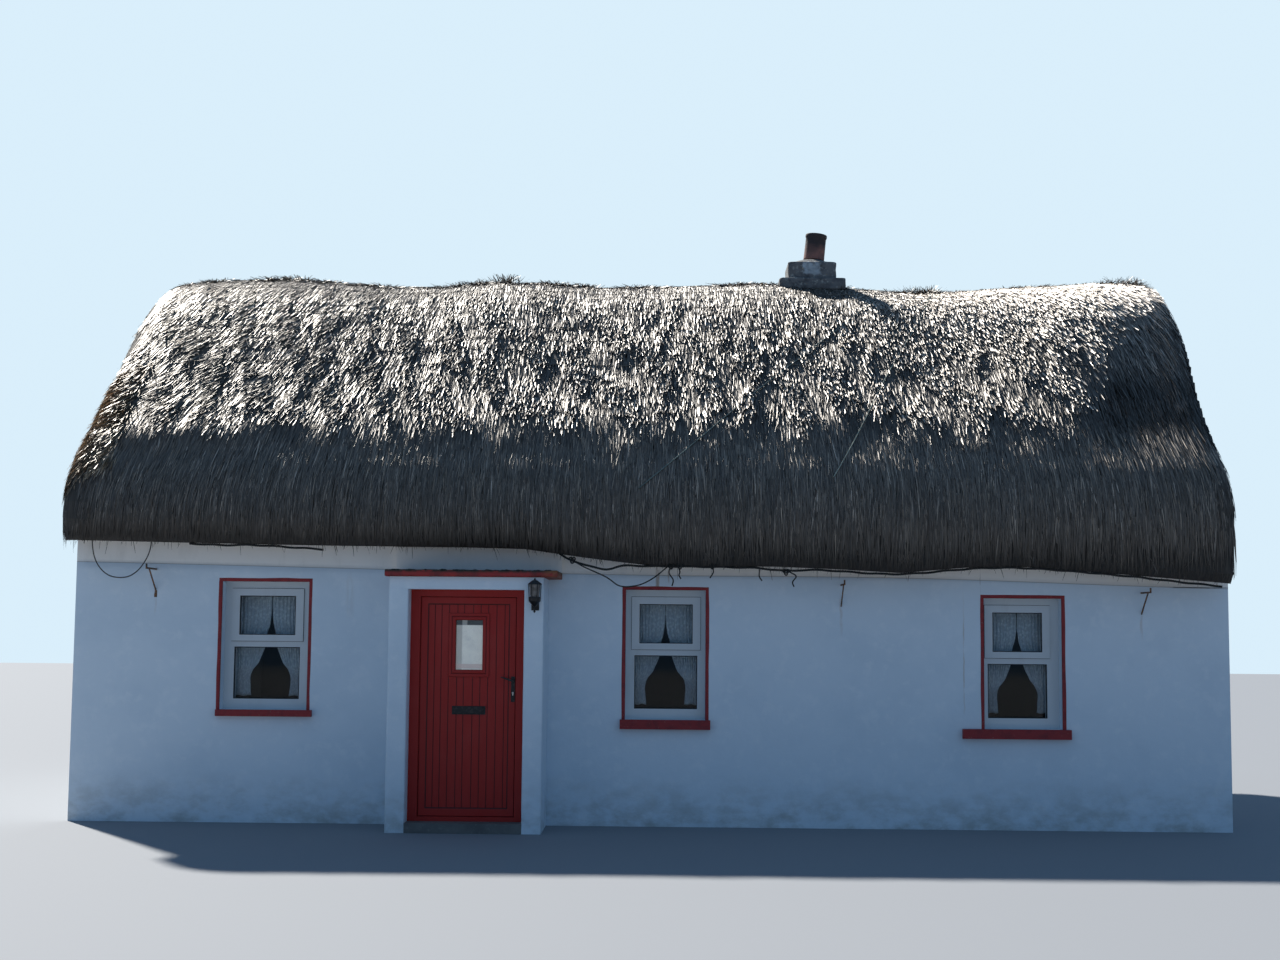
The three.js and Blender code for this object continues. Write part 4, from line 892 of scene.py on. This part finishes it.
def picture_frame(name, inner, outer, across, proud, face_y, side=-1, dirt_and_shade=None):
    """A rectangular ring whose profile is carried round four mitred corners. Points lie at shares (across) of the
    way from the inner rectangle to the outer one and stand proud of face_y. Rectangles are left, right, low, high."""
    corners = lambda r: np.array([(r[0], r[2]), (r[0], r[3]), (r[1], r[3]), (r[1], r[2]), (r[0], r[2])])
    share = np.asarray(across)[None, :, None]
    at = corners(inner)[:, None] * (1 - share) + corners(outer)[:, None] * share
    y = np.broadcast_to(face_y + side * np.asarray(proud), at.shape[:2])
    told = {} if dirt_and_shade is None else {"groove": np.broadcast_to(np.asarray(dirt_and_shade, float), at.shape[:2]).ravel()}
    return skin(name, np.stack([at[..., 0], y, at[..., 1]], axis=-1), flip=side > 0, flat=True, **told)


# How far the sash keeps from the opening at the left and the right
INSETS = {"left": (0.064, 0.071), "middle": (0.053, 0.045), "right": (0.030, 0.080), "back_left": (0.050, 0.050),
          "back_right": (0.050, 0.050)}
FRAME_BACK, SASH_BACK = 0.125, 0.110
for name, (left, right, sill, head) in OPENINGS.items():
    side = 1 if name.startswith("back") else -1
    sash = (left + INSETS[name][0], right - INSETS[name][1], head - 0.520, head - 0.062)
    # A thin black ring just outside the sash: painted shadow of the gap between sash and frame.
    gap = picture_frame(f"{name}_sash_shadow_ring", sash, grown(sash, 0.0035), [0, 0.05, 0.95, 1],
                        [0.004, 0.0012, 0.0012, -0.0002], side * (WALL_FACE - FRAME_BACK), side)
    fitted(gap, "house", "white_plastic", rubber)
    upper = (sash[0] + 0.072, sash[1] - 0.072, sash[2] + 0.058, sash[3] - 0.066)
    lower = (sash[0] + 0.030, sash[1] - 0.030, sill + 0.092, head - 0.574)
    for part, light, back in (("sash", upper, SASH_BACK), ("fixed", lower, FRAME_BACK)):
        gasket = picture_frame(f"{name}_{part}_gasket", grown(light, -0.003), grown(light, 0.004),
                               [0, 0.1, 0.5, 0.9, 1], [-0.03, -0.002, 0.001, 0.0006, -0.0002],
                               side * (WALL_FACE - back), side)
        fitted(gasket, "house", "white_plastic", rubber)

# Net curtains: a pair of cotton nets in each front window, gathered on a thin white rod. They meet at the top,
# are tied back to the sides some two thirds of the way down, and fall straight below.
ROD_DROP, TIE_DROP, HEM_DROP = 0.040, 0.680, 0.960
NET_Y = -2.433
NET_SHARE = 0.6  # a flat sheet's width, as a share of the opening's
ROPE_STRANDS = 3
# Half the gap between the two curtains, by the drop below the rod
GAP = smooth_line([(0.0, 0.003), (0.20, 0.004), (0.265, 0.006), (0.34, 0.018), (0.42, 0.040), (0.54, 0.056),
                   (0.62, 0.086), (0.68, 0.112), (0.72, 0.150), (0.80, 0.176), (0.90, 0.172), (0.97, 0.164)], 8)
net, shader = new_material("net_cotton", Roughness=0.9, Alpha=0.9)
cloth_place = node_in(net.node_tree, "UVMap", uv_map="cloth")
threads = node_in(net.node_tree, "TexVoronoi", {"Vector": cloth_place, "Scale": 40.0}, out="Distance")
feed(shader, Base_Color=painted_over((0.74, 0.80, 0.86), (0.50, 0.56, 0.64), risen(threads, 0.2, 0.6), 0.8))
rod_white = finish("rod_enamel", (0.75, 0.75, 0.73), ((0.5, 0.48, 0.45), 0.5, 30.0), Roughness=0.4)


def circle(count):
    """Angles once round."""
    return np.linspace(0, math.tau, count, endpoint=False)


def loft(name, rings):
    """A closed body through rings of points, with each end ring drawn in to its middle and the seams merged."""
    first, last = (np.broadcast_to(rings[k].mean(0), (1, *rings.shape[1:])) for k in (0, -1))
    rings = np.concatenate([first, rings, last])
    index = np.arange(rings.shape[0] * rings.shape[1]).reshape(rings.shape[:2])
    after = np.roll(index, -1, axis=1)
    quads = np.stack([index[:-1], after[:-1], after[1:], index[1:]], axis=-1).reshape(-1, 4)
    thing = object_from(name, rings.reshape(-1, 3), quads)
    work = bmesh.new()
    work.from_mesh(thing.data)
    bmesh.ops.remove_doubles(work, verts=work.verts, dist=1e-6)
    bmesh.ops.recalc_face_normals(work, faces=work.faces)
    work.to_mesh(thing.data)
    work.free()
    return thing


def tube(name, route, radius, around=10, toward=(0, 1, 0), lay=None):
    """A round bar along a route: rings at right angles to it, of one radius or an array of them. A laid rope's
    radius turns with its three strands, once round in a length of lay."""
    route = np.asarray(route, float)
    line = unit(np.gradient(route, axis=0))
    sideways = unit(np.cross(line, toward))
    up = np.cross(sideways, line)
    turn = circle(around)[None, :, None]
    size = np.broadcast_to(np.asarray(radius, float).reshape(-1, 1), (len(route), around)).copy()
    if lay:
        wound = turn[..., 0] - math.tau * run_along(route)[:, None] / lay
        size *= 0.80 + 0.22 * np.abs(np.cos(ROPE_STRANDS / 2 * wound))
    spokes = sideways[:, None] * np.cos(turn) + up[:, None] * np.sin(turn)
    return loft(name, route[:, None] + size[..., None] * spokes)


def gathered_net(name, opening, mirror, phase):
    """One curtain: s runs across it and v down it. Its outer edge hangs straight down the side; its inner edge
    curves back to the tie and falls free below. Folds are a sine across, tighter and flatter at the tie."""
    left, right, _, head = opening
    width = right - left
    s, v = np.meshgrid(np.linspace(0, 1, 121), np.linspace(0, 1, 41), indexing="ij")
    drop = HEM_DROP * v
    inner = width / 2 - np.interp(drop, *GAP.T) + 0.004 * ripple(66 + int(10 * phase), 0.15, drop, 0, 2)
    outer = 0.013 + 0.055 * np.clip(drop / TIE_DROP, 0, 1) ** 2
    pinch = np.exp(-((drop - TIE_DROP) / 0.09) ** 2)
    across = outer + (inner - outer) * s
    folds = 11
    wave = (np.sin(math.tau * folds * s + phase + 0.7 * np.sin(5 * v + phase))
            + 0.3 * np.sin(math.tau * 2.3 * folds * s + 3 * v))
    x = right - across if mirror else left + across
    y = NET_Y + (0.0062 - 0.002 * pinch) * wave * (0.75 + 0.25 * v)
    z = head - ROD_DROP - drop - 0.045 * pinch * s * (1 - s) * 4 + 0.004 * np.sin(9 * s + phase) * v
    cloth = skin(name, np.stack([x, y, z], axis=-1), flip=mirror)
    corner = np.empty(len(cloth.data.loops), np.int32)
    cloth.data.loops.foreach_get("vertex_index", corner)
    flat_place = np.stack([s.ravel() * width * NET_SHARE, drop.ravel()], axis=1)[corner]
    cloth.data.uv_layers.new(name="cloth").data.foreach_set("uv", flat_place.astype(np.float32).ravel())
    cloth.modifiers.new("thickness", "SOLIDIFY").thickness = 0.0006
    return fitted(cloth, "house", "net", net)


for number, name in enumerate(("left", "middle", "right")):
    left, right, _, head = OPENINGS[name]
    rod_line = np.linspace((left + 0.001, NET_Y, head - ROD_DROP), (right - 0.001, NET_Y, head - ROD_DROP), 12)
    rod = tube(f"{name}_curtain_rod", rod_line, 0.005, 12, toward=(0, 0, 1))
    fitted(rod, "house", "white_plastic", rod_white)
    for half, mirror in (("left", False), ("right", True)):
        cloth = gathered_net(f"{name}_net_{half}", OPENINGS[name], mirror, 1.7 * number + 2.1 * mirror)
        if mirror:
            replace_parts(cloth, f"{name}_net_curtains")

# Porch: two rendered piers and a head carry a concrete canopy slab. The slab is cast with worn, rounded edges and
# painted red, and moss and rust stains have taken its top edge and right end.
canopy_paint, shader, where = new_finish("canopy_paint", Roughness=0.7)
x, y, z = axes_of(where)
ragged = blotched(where, 22.0, 0.30, 0.20)
coat = patched(where, (0.36, 0.028, 0.026), ((0.16, 0.024, 0.022), 0.9, 9.0, 0.42, 0.25))
coat = painted_over(coat, (0.018, 0.020, 0.012), times(risen(z, 2.136, 2.156), ragged), 0.95)
coat = painted_over(coat, (0.28, 0.11, 0.04), times(risen(x, -0.90, -0.80), ragged), 0.7)
feed(shader, Base_Color=coat, Normal=bumped(noise(where, 60.0, 5.0), 0.6, 0.004))

(LEFT, RIGHT), (FRONT, BACK), (FOOT, TOP) = (-2.195, -0.757), (-3.390, -2.701), (2.108, 2.168)


def squared(turn, power):
    """Cosine and sine of an angle, each drawn out to a power: round at 1 and nearly square towards 0."""
    return [np.sign(wave) * np.abs(wave) ** power for wave in (np.cos(turn), np.sin(turn))]


rounding = np.array([0, 0.0015, 0.005])
x = np.concatenate([LEFT + rounding, np.linspace(-2.180, -0.772, 90), RIGHT - rounding[::-1]])[:, None]
turn = circle(120)
corner_cut = np.interp(x, [LEFT, -2.190, -0.762, RIGHT], [0.005, 0, 0, 0.005])
ring_y, ring_z = squared(turn, 0.12)
worn = np.clip(0.0022 * (1 + ripple(71, 0.35, x, 3 * turn)), 0, None)
rings = np.stack([np.broadcast_to(x, worn.shape),
                  (FRONT + BACK) / 2 + ((BACK - FRONT) / 2 - corner_cut - worn) * ring_y,
                  (FOOT + TOP) / 2 + ((TOP - FOOT) / 2 - corner_cut - 0.8 * worn) * ring_z], axis=-1)
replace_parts(fitted(loft("canopy", rings), "house", "red_painted_concrete", canopy_paint), "canopy_slab")

# Black crust of dirt and lichen along the canopy's top front edge
x = np.linspace(-2.188, -0.800, 260)
crust_look = finish("black_crust", (0.012, 0.012, 0.010), ((0.050, 0.045, 0.028), 0.8, 45.0),
                    bump=(150.0, 4.0, 0.9, 0.004), Roughness=0.95)
crust_size = np.clip(0.0065 + 0.0060 * ripple(74, 0.12, x), 0.001, 0.015)
crust_route = np.stack([x, -3.379 + 0.003 * ripple(76, 0.2, x), 2.1615 + 0.002 * ripple(77, 0.15, x)], axis=1)
fitted(tube("canopy_crust", crust_route, crust_size), "house", "red_painted_concrete", crust_look)

PIER_FRONT, PIER_TOP = -3.350, 2.004


def pier_coat(name, x0, x1, seed):
    """The render on a porch pier: its plan outline, from the house wall round the front and into the doorway with
    rounded corners, carried up the pier and moved by a few millimetres of ripple."""
    out, inner = (x0, x1) if x0 < -1.5 else (x1, x0)
    s = 1 if out < inner else -1
    plan = [(out, -2.704), (out, -2.9), (out, -3.1), (out, -3.3), (out, -3.342), (out + s * 0.003, -3.349)]
    plan += [(out + s * d, PIER_FRONT) for d in (0.012, 0.05, 0.09, 0.13)] + [(inner - s * 0.010, PIER_FRONT)]
    plan = np.array(plan + [(inner - s * 0.003, -3.3485), (inner, -3.341), (inner, -3.26), (inner, -3.172)])
    away = np.array([(-s, 0)] * 5 + [(-0.7 * s, -0.7)] + [(0, -1)] * 5 + [(0.7 * s, -0.7)] + [(s, 0)] * 3, float)
    z = np.linspace(0, PIER_TOP, 90)
    depth = 0.0022 + 0.0012 * ripple(seed, 0.6, plan[:, :1] * 3 + np.arange(len(plan))[:, None] * 0.05, z)
    depth[[0, -1]] = 0.0004
    at = plan[:, None, :] + away[:, None, :] * depth[..., None]
    grid = np.stack([at[..., 0], at[..., 1], np.broadcast_to(z, depth.shape)], axis=-1)
    fitted(skin(name, grid, flip=s < 0), "house", "limewashed_stone", limewash)


pier_coat("porch_left_coat", -2.157, -2.000, 72)
pier_coat("porch_right_coat", -1.030, -0.873, 73)

# Door: a red plastic leaf with a wood grain, moulded as ten tongued boards in a raised border, with a small
# glazed light. The grooves and the edges of the border and moulding are painted dark: partly dirt, partly
# painted shade in the recesses.
red_gloss, shader, where = new_finish("red_gloss_paint", Specular_IOR_Level=0.3)
grain = noise(scaled(where, 160.0, 160.0, 7.0), 1.0, 4.0, 0.6)
coat = painted_over((0.44, 0.020, 0.014), (0.34, 0.015, 0.012), grain, 0.8)
coat = patched(where, coat, ((0.42, 0.050, 0.042), 0.35, 3.0, 0.46, 0.25, 2.0))
# Darkened where the groove value is set: dirt, and painted shade in the grooves and along recessed edges.
coat = painted_over(coat, (0.035, 0.006, 0.006), attribute(shader, "groove"), 0.9)
feed(shader, Base_Color=coat, Roughness=risen(grain, 0, 1, 0.32, 0.55), Normal=bumped(grain, 0.35, 0.0008))
dress(red_gloss, "door_frame", "door_leaf")

LEAF_FACE = -3.145
LEAF_EDGE = (-1.917, -1.111, 0.118, 1.946)
PANEL = (-1.848, -1.176, 0.193, 1.879)
LIGHT = (-1.621, -1.393, 1.333, 1.752)
JOINTS = (-1.797, -1.740, -1.677, -1.607, -1.550, -1.474, -1.411, -1.347, -1.277, -1.208)
SLOT = (-1.622, -1.381, 0.977, 1.013)
BOARD_OUT = 0.0024
around_light = grown(LIGHT, 0.03)
groove_x = np.add.outer(JOINTS, [-0.0045, -0.0035, -0.0005, 0.0005, 0.0035, 0.0045]).ravel()
groove_out = np.tile([BOARD_OUT, 0.0021, 0.0004, 0.0004, 0.0021, BOARD_OUT], len(JOINTS))
groove_dirt_and_shade = np.tile([0.0, 0.6, 1.0, 1.0, 0.6, 0.0], len(JOINTS))
profile_x = np.sort(np.concatenate([PANEL[:2], groove_x, around_light[:2], SLOT[:2]]))
profile_out = np.interp(profile_x, groove_x, groove_out, left=BOARD_OUT, right=BOARD_OUT)
up = np.unique(np.concatenate([np.linspace(PANEL[2], PANEL[3], 28), around_light[2:], SLOT[2:]]))
X, Z = np.meshgrid(profile_x, up, indexing="ij")
grid = np.stack([X, LEAF_FACE - profile_out[:, None] + 0 * X, Z], axis=-1)
holes = cells_in(X, Z, *around_light) | cells_in(X, Z, *SLOT)
in_groove = np.broadcast_to(np.interp(profile_x, groove_x, groove_dirt_and_shade)[:, None], X.shape).ravel()
boards = skin("door_boards", grid, ~holes, flat=True, groove=in_groove)
border = picture_frame("door_border", PANEL, LEAF_EDGE, [0, 0.02, 0.13, 0.18, 0.88, 0.92, 0.95, 1.0],
                       [0.0, 0.003, 0.0052, 0.0060, 0.0060, 0.0060, 0.0045, 0.0], LEAF_FACE,
                       dirt_and_shade=[1, 1, 0.9, 0, 0, 0.1, 0.9, 1])
moulding = picture_frame("door_light_moulding", grown(LIGHT, -0.001), grown(LIGHT, 0.059),
                         [0, 0.0, 0.05, 0.16, 0.24, 0.34, 0.45, 0.52, 0.58, 0.64, 0.86, 0.92, 0.95, 1.0],
                         [-0.018, 0.009, 0.0125, 0.0155, 0.0158, 0.0150, 0.0132, 0.0105, 0.0125, 0.0138, 0.0138,
                          0.0130, 0.008, 0.0], LEAF_FACE, dirt_and_shade=[1, 0.3, 0, 0, 0, 0, 0.2, 1, 0.2, 0, 0, 0, 0.8, 1])
for thing in (boards, border, moulding):
    fitted(thing, "door", "red_door", red_gloss)

# Blind: a plain sheet of stiff pale paper, a little crumpled, that hangs behind the door's glass. It glows
# faintly in its own colours, as painted light for daylight coming through it. It has a grey side strip, a
# pinkish foot and a dark header.
paper, shader, where = new_finish("plain_paper", Roughness=0.8, Emission_Strength=0.22)
x, y, z = axes_of(where)
faded = patched(where, (0.86, 0.86, 0.84), ((0.70, 0.71, 0.72), 0.8, 9.0, 0.4, 0.3))
faded = painted_over(faded, (0.50, 0.50, 0.50), within(x, -1.64, -1.565, 0.012), 0.8)
faded = painted_over(faded, (0.66, 0.54, 0.54), within(z, 1.342, 1.386, 0.006), 0.8)
header = painted_over((0.085, 0.095, 0.105), (0.42, 0.44, 0.46), within(x, -1.575, -1.525, 0.008), 0.8)
faded = painted_over(faded, header, risen(z, 1.706, 1.712))
# The paper's own colours also feed its glow, which is painted light.
feed(shader, Base_Color=faded, Emission_Color=faded)
s, v = np.meshgrid(np.linspace(-1.6195, -1.3945, 46), np.linspace(1.335, 1.7505, 84), indexing="ij")
fold = (0.0012 * ripple(81, 0.12, s, v, 2) + 0.0012 * np.exp(-((s + 1.575) / 0.004) ** 2)
        + 0.0016 * np.exp(-((v - 1.388) / 0.004) ** 2))
blind = skin("door_blind", np.stack([s, -3.1150 + np.clip(fold, -0.003, 0.003), v], axis=-1))
blind.modifiers.new("thickness", "SOLIDIFY").thickness = 0.0004
fitted(blind, "door", "white_plastic", paper)

# Door furniture and lantern: cast iron with a slightly rough skin, lacquered black. The lacquer has worn thin in
# patches, where the brown of the iron comes through.
black_iron = finish("black_lacquered_iron", (0.012, 0.012, 0.013), ((0.05, 0.043, 0.038), 0.6, 40.0, 0.52, 0.1),
                    bump=(220.0, 3.0, 0.4, 0.001), Roughness=0.4, Metallic=0.3)
dress(black_iron, "letter_plate", "letter_flap", "handle_plate", "lever_handle", "wall_lantern")

# Lock: the nickel cylinder of the door's lock, round above and with a tongue below, which stands three
# millimetres out of the handle plate and is dulled by handling.
LOCK_HEIGHT, LOCK_RADIUS = 1.146, 0.0085
nickel, shader, where = new_finish("worn_nickel", Metallic=1.0)
feed(shader, Base_Color=patched(where, (0.62, 0.60, 0.57), ((0.30, 0.28, 0.26), 0.7, 150.0)),
     Roughness=noise(where, 300.0))
plate_low, plate_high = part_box("handle_plate")
plate_middle = (plate_low[0] + plate_high[0]) / 2
round_part = [(LOCK_RADIUS * math.cos(a), LOCK_RADIUS * math.sin(a)) for a in np.radians(np.linspace(-54, 234, 40))]
tongue = [(-0.005, -0.012), (-0.005, -0.018), (-0.0035, -0.0226), (0.0, -0.0242), (0.0035, -0.0226), (0.005, -0.018),
          (0.005, -0.012)]
rings = [[(plate_middle + x * shrink, plate_low[1] - out, LOCK_HEIGHT + z * shrink) for x, z in round_part + tongue]
         for out, shrink in ((-0.0005, 1.0), (0.0026, 1.0), (0.0031, 0.94), (0.0031, 0.4))]
fitted(loft("lock_cylinder", np.array(rings)), "door", "black_iron", nickel)

# Basket brackets: flat iron strip screwed to the wall, with an arm and a stay. They were painted once and have
# rusted through, with a few pale flakes left.
rusty_iron = finish("rusty_iron", (0.055, 0.040, 0.032), ((0.24, 0.11, 0.045), 0.9, 35.0, 0.42, 0.15),
                    ((0.36, 0.33, 0.28), 0.8, 60.0, 0.6, 0.05), bump=(160.0, 5.0, 0.7, 0.002), Roughness=0.85)
dress(rusty_iron, "basket_bracket_left", "basket_bracket_middle", "basket_bracket_right")


# Ropes: three-strand laid rope, tied over the thatch and along the eave to hold the straw down. Each was renewed
# in its own year, so that their colours differ: pale, faded green, brown and tarred.
def rope_finish(name, light, dark):
    """Rope fibre: two shades in fine streaks, with grime in patches."""
    made, shader, where = new_finish(name, Roughness=0.9)
    fibre = noise(where, 180.0, 3.0)
    shade = patched(where, painted_over(light, dark, fibre, 0.9), (dark, 0.7, 5.0, 0.45, 0.2))
    feed(shader, Base_Color=shade, Normal=bumped(fibre, 0.6, 0.001))
    return made


def straightened(route, step):
    """The route again with even steps along its length."""
    run = run_along(route)
    even = np.linspace(0, run[-1], max(2, int(run[-1] / step)))
    return np.stack([np.interp(even, run, route[:, axis]) for axis in range(3)], axis=1)


tarred = rope_finish("tarred_rope", (0.035, 0.040, 0.038), (0.012, 0.012, 0.011))
pale = rope_finish("pale_rope", (0.42, 0.46, 0.38), (0.16, 0.17, 0.14))
green = rope_finish("faded_green_rope", (0.20, 0.27, 0.25), (0.07, 0.09, 0.085))
brown = rope_finish("brown_rope", (0.13, 0.10, 0.07), (0.04, 0.03, 0.022))
sisal = rope_finish("sisal_string", (0.26, 0.22, 0.17), (0.12, 0.10, 0.08))
DOWN_SLOPE = (0, 0.7, -0.7)
ROOF_ROPES = (  # name, its ends at the ridge and below as x and z, slot, finish
    ("right", (2.826, 5.123), (1.571, 2.998), "pale_rope", pale),
    ("middle", (2.224, 4.997), (-0.100, 2.883), "pale_rope", green),
    ("left", (-3.254, 5.176), (-3.161, 3.760), "brown_rope", brown),
)
for name, start, end, slot, look in ROOF_ROPES:
    x, z = np.linspace(start, end, 60).T
    x = x + 0.012 * np.sin(np.linspace(0, 9, 60))
    t = np.empty(60)
    for k, (px, height) in enumerate(zip(x, z)):
        column = min(len(u_grid) - 1, int(round((px - u_grid[0]) / (u_grid[1] - u_grid[0]))))
        t[k] = np.interp(-height, -face[column, 15:, 2], t_grid[15:])
    route, out = on_face(x, t, -1)
    laid = tube(f"thatch_rope_{name}", straightened(route + 0.010 * out, 0.009), 0.0050, 12, DOWN_SLOPE, lay=0.05)
    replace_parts(fitted(laid, "house", slot, look), f"roof_rope_{name}")

# Tie lines: thin sisal strings laid nearly level across the slope, fifteen to forty centimetres apart, and
# pressed into the straw.
for number, t in enumerate((0.55, 0.95, 1.10, 1.40, 1.62, 1.81, 2.05)):
    u = np.linspace(-4.55, 4.30, 190)
    route, out = on_face(u, t + 0.012 * ripple(75 + number, 1.6, u, 0, 2), -1)
    string = tube(f"tie_line_{number + 1}", route + out * 0.007, 0.0022, 6, DOWN_SLOPE)
    fitted(string, "house", "brown_rope", sisal)

# Eave ropes: two stretches of thick tarred rope that run along just under the eave and sag between their ties.
# Each is given as its drop in millimetres below the line of the eave.
EAVE_LINE = smooth_line([(-5.05, 2.412), (-3.0, 2.382), (-1.28, 2.370), (-0.765, 2.331), (-0.08, 2.234), (1.29, 2.228),
                         (2.14, 2.184), (2.99, 2.25), (4.09, 2.183), (5.05, 2.110)], 20)
EAVE_ROPES = {
    "right": ((-0.77, 8), (-0.67, 45), (-0.40, 70), (-0.21, 16), (0.06, 4), (0.50, 3), (0.90, 12), (1.17, 34),
              (1.40, 20), (1.90, 12), (2.35, 8), (2.85, 14), (3.30, 10), (4.04, 10), (4.45, 22), (4.88, 30)),
    "left": ((-3.96, 6), (-3.70, 14), (-3.40, 8), (-3.05, 22), (-2.80, 34)),
}
for name, line in EAVE_ROPES.items():
    x, drop = smooth_line([(x, drop / 1000) for x, drop in line], 12).T
    height = np.interp(x, *EAVE_LINE.T) - drop
    route = np.stack([x, -2.925 + 0.01 * np.sin(3 * x), height + 0.003 * np.sin(23 * x)], axis=1)
    laid = tube(f"eave_line_{name}", straightened(route, 0.009), 0.010, 12, lay=0.06)
    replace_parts(fitted(laid, "house", "dark_rope", tarred), f"eave_rope_{name}")

# Loose ends and knots of the eave rope, which hang where a stretch was tied off
TAILS = {
    "slack_loop": ((-0.640, 2.262), (-0.560, 2.215), (-0.369, 2.130), (-0.249, 2.054), (-0.10, 2.060), (0.03, 2.120),
                   (0.161, 2.225)),
    "tail_1": ((0.186, 2.236), (0.170, 2.17), (0.205, 2.11), (0.196, 2.057)),
    "tail_2": ((0.246, 2.236), (0.262, 2.18), (0.255, 2.15), (0.272, 2.118)),
    "tail_3": ((0.537, 2.236), (0.548, 2.18), (0.520, 2.128)),
    "tail_4": ((1.190, 2.190), (1.255, 2.15), (1.225, 2.10), (1.237, 2.058)),
    "tail_5": ((0.947, 2.215), (0.940, 2.15), (0.964, 2.107)),
}
KNOTS = ((1.169, 2.186), (0.186, 2.232), (0.262, 2.232), (0.540, 2.236), (-0.660, 2.274))
for name, line in TAILS.items():
    route = np.insert(smooth_line(line, 10), 1, -2.934, axis=1)
    tail = tube(f"eave_rope_{name}", straightened(route, 0.008), 0.006, lay=0.04)
    fitted(tail, "house", "dark_rope", tarred)
turn = circle(60)
for number, (x, z) in enumerate(KNOTS):
    knot = np.stack([x + 0.0095 * (np.sin(turn) + 2 * np.sin(2 * turn)), -2.935 - 0.008 * np.sin(3 * turn),
                     z + 0.0095 * (np.cos(turn) - 2 * np.cos(2 * turn))], axis=1)
    fitted(tube(f"eave_knot_{number + 1}", knot, 0.0065, 8, (0.1, 1, 0.05)), "house", "dark_rope", tarred)

# Chimney: a cast concrete slab and block on the stack, lichened and chipped along the edges, with a fillet of
# mortar on top. The clay pot bedded in it leans a little and is blackened by peat smoke.
lichened, shader, where = new_finish("lichened_concrete", Roughness=0.92)
x, y, z = axes_of(where)
stone = patched(where, (0.150, 0.152, 0.155), ((0.072, 0.072, 0.076), 0.9, 10.0, 0.4, 0.25),
                ((0.32, 0.33, 0.31), 0.7, 24.0, 0.55, 0.08), ((0.40, 0.25, 0.05), 0.6, 34.0, 0.64, 0.05))
uneven = noise(where, 30.0, 3.0)
daub = times(within(calc("MULTIPLY_ADD", uneven, 0.09, x), 1.562, 1.758, 0.034),
             within(calc("MULTIPLY_ADD", uneven, -0.08, z), 5.276, 5.432, 0.034))
daub = times(times(daub, calc("LESS_THAN", y, -0.2)), uneven)
feed(shader, Base_Color=painted_over(stone, (0.40, 0.46, 0.50), daub, 1.5),
     Normal=bumped(noise(where, 50.0, 6.0, 0.65), 0.8, 0.008))

CHIMNEY_X = 1.622
levels = [  # half the width along the house and across it, height, and the power of squared
    (0.330, 0.311, 5.161, 0.15), (0.343, 0.323, 5.168, 0.12),
    *[(0.344, 0.324, z, 0.12) for z in np.linspace(5.18, 5.268, 5)],
    (0.342, 0.322, 5.277, 0.12), (0.335, 0.316, 5.282, 0.12), (0.262, 0.262, 5.283, 0.12), (0.252, 0.252, 5.288, 0.12),
    *[(0.251, 0.251, z, 0.12) for z in np.linspace(5.30, 5.450, 7)], (0.248, 0.248, 5.459, 0.14),
    (0.240, 0.240, 5.463, 0.16), (0.222, 0.222, 5.468, 0.35), (0.195, 0.195, 5.484, 0.8), (0.165, 0.165, 5.503, 1.0),
    (0.140, 0.140, 5.511, 1.0)]
turn = circle(144)
rings = []
for half_x, half_y, z, power in levels:
    chip = 0.004 * (1 + ripple(91, 2.2, 6 * turn, 14 * z)).clip(0, None)
    ring_x, ring_y = squared(turn, power)
    rings.append(np.stack([CHIMNEY_X + (half_x - chip) * ring_x, (half_y - chip) * ring_y, z + 0 * turn], axis=1))
cap = fitted(loft("chimney_top", np.array(rings)), "house", "grey_concrete", lichened)
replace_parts(cap, "chimney_cap")

POT_LEAN = math.radians(6)
POT_SEAT = (CHIMNEY_X + 0.035, 0.0, 5.512 + 0.108 * math.sin(POT_LEAN) + 0.0003)
POT_PROFILE = (  # radius and height, up the outside and down the inside
    (0.093, 0.0), (0.100, -0.0), (0.1075, 0.002), (0.1078, 0.010), (0.1065, 0.06), (0.1058, 0.12), (0.1052, 0.18),
    (0.1045, 0.232), (0.1085, 0.238), (0.1112, 0.246), (0.1116, 0.256), (0.1112, 0.265), (0.1085, 0.2705),
    (0.1030, 0.2715), (0.0945, 0.2705), (0.0895, 0.266), (0.0885, 0.25), (0.0890, 0.2), (0.0905, 0.1), (0.0920, 0.004))
clay, shader, where = new_finish("sooty_clay", Roughness=0.8)
fired = patched(where, (0.235, 0.110, 0.090), ((0.150, 0.080, 0.070), 0.8, 12.0, 0.4, 0.2))
smoked = calc("MULTIPLY_ADD", noise(where, 12.0, 4.0), 0.10, axes_of(where)["Z"])
feed(shader, Base_Color=painted_over(fired, (0.022, 0.020, 0.022), risen(smoked, 5.64, 5.74), 0.93),
     Normal=bumped(noise(where, 70.0, 4.0), 0.4, 0.003))
rings = np.array([[(r * np.cos(a), r * np.sin(a), z) for a in circle(72)] for r, z in POT_PROFILE])
index = np.arange(len(POT_PROFILE) * 72).reshape(-1, 72)
after = np.roll(index, -1, axis=1)
quads = np.stack([index, after, np.roll(after, -1, axis=0), np.roll(index, -1, axis=0)], axis=-1).reshape(-1, 4)
pot = object_from("pot", rings.reshape(-1, 3) @ np.array(Matrix.Rotation(POT_LEAN, 3, "Y")).T + POT_SEAT, quads)
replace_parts(fitted(pot, "house", "clay", clay), "chimney_pot")

# Floor: a concrete slab, trowelled smooth, with darker trodden patches and a few pale scuffs.
slab = finish("trowelled_concrete", (0.17, 0.165, 0.155), ((0.10, 0.098, 0.092), 0.8, 2.5, 0.4, 0.25),
              ((0.22, 0.215, 0.20), 0.5, 30.0, 0.58, 0.1), bump=(25.0, 5.0, 0.3, 0.004), Roughness=0.8)
dress(slab, "floor_slab")
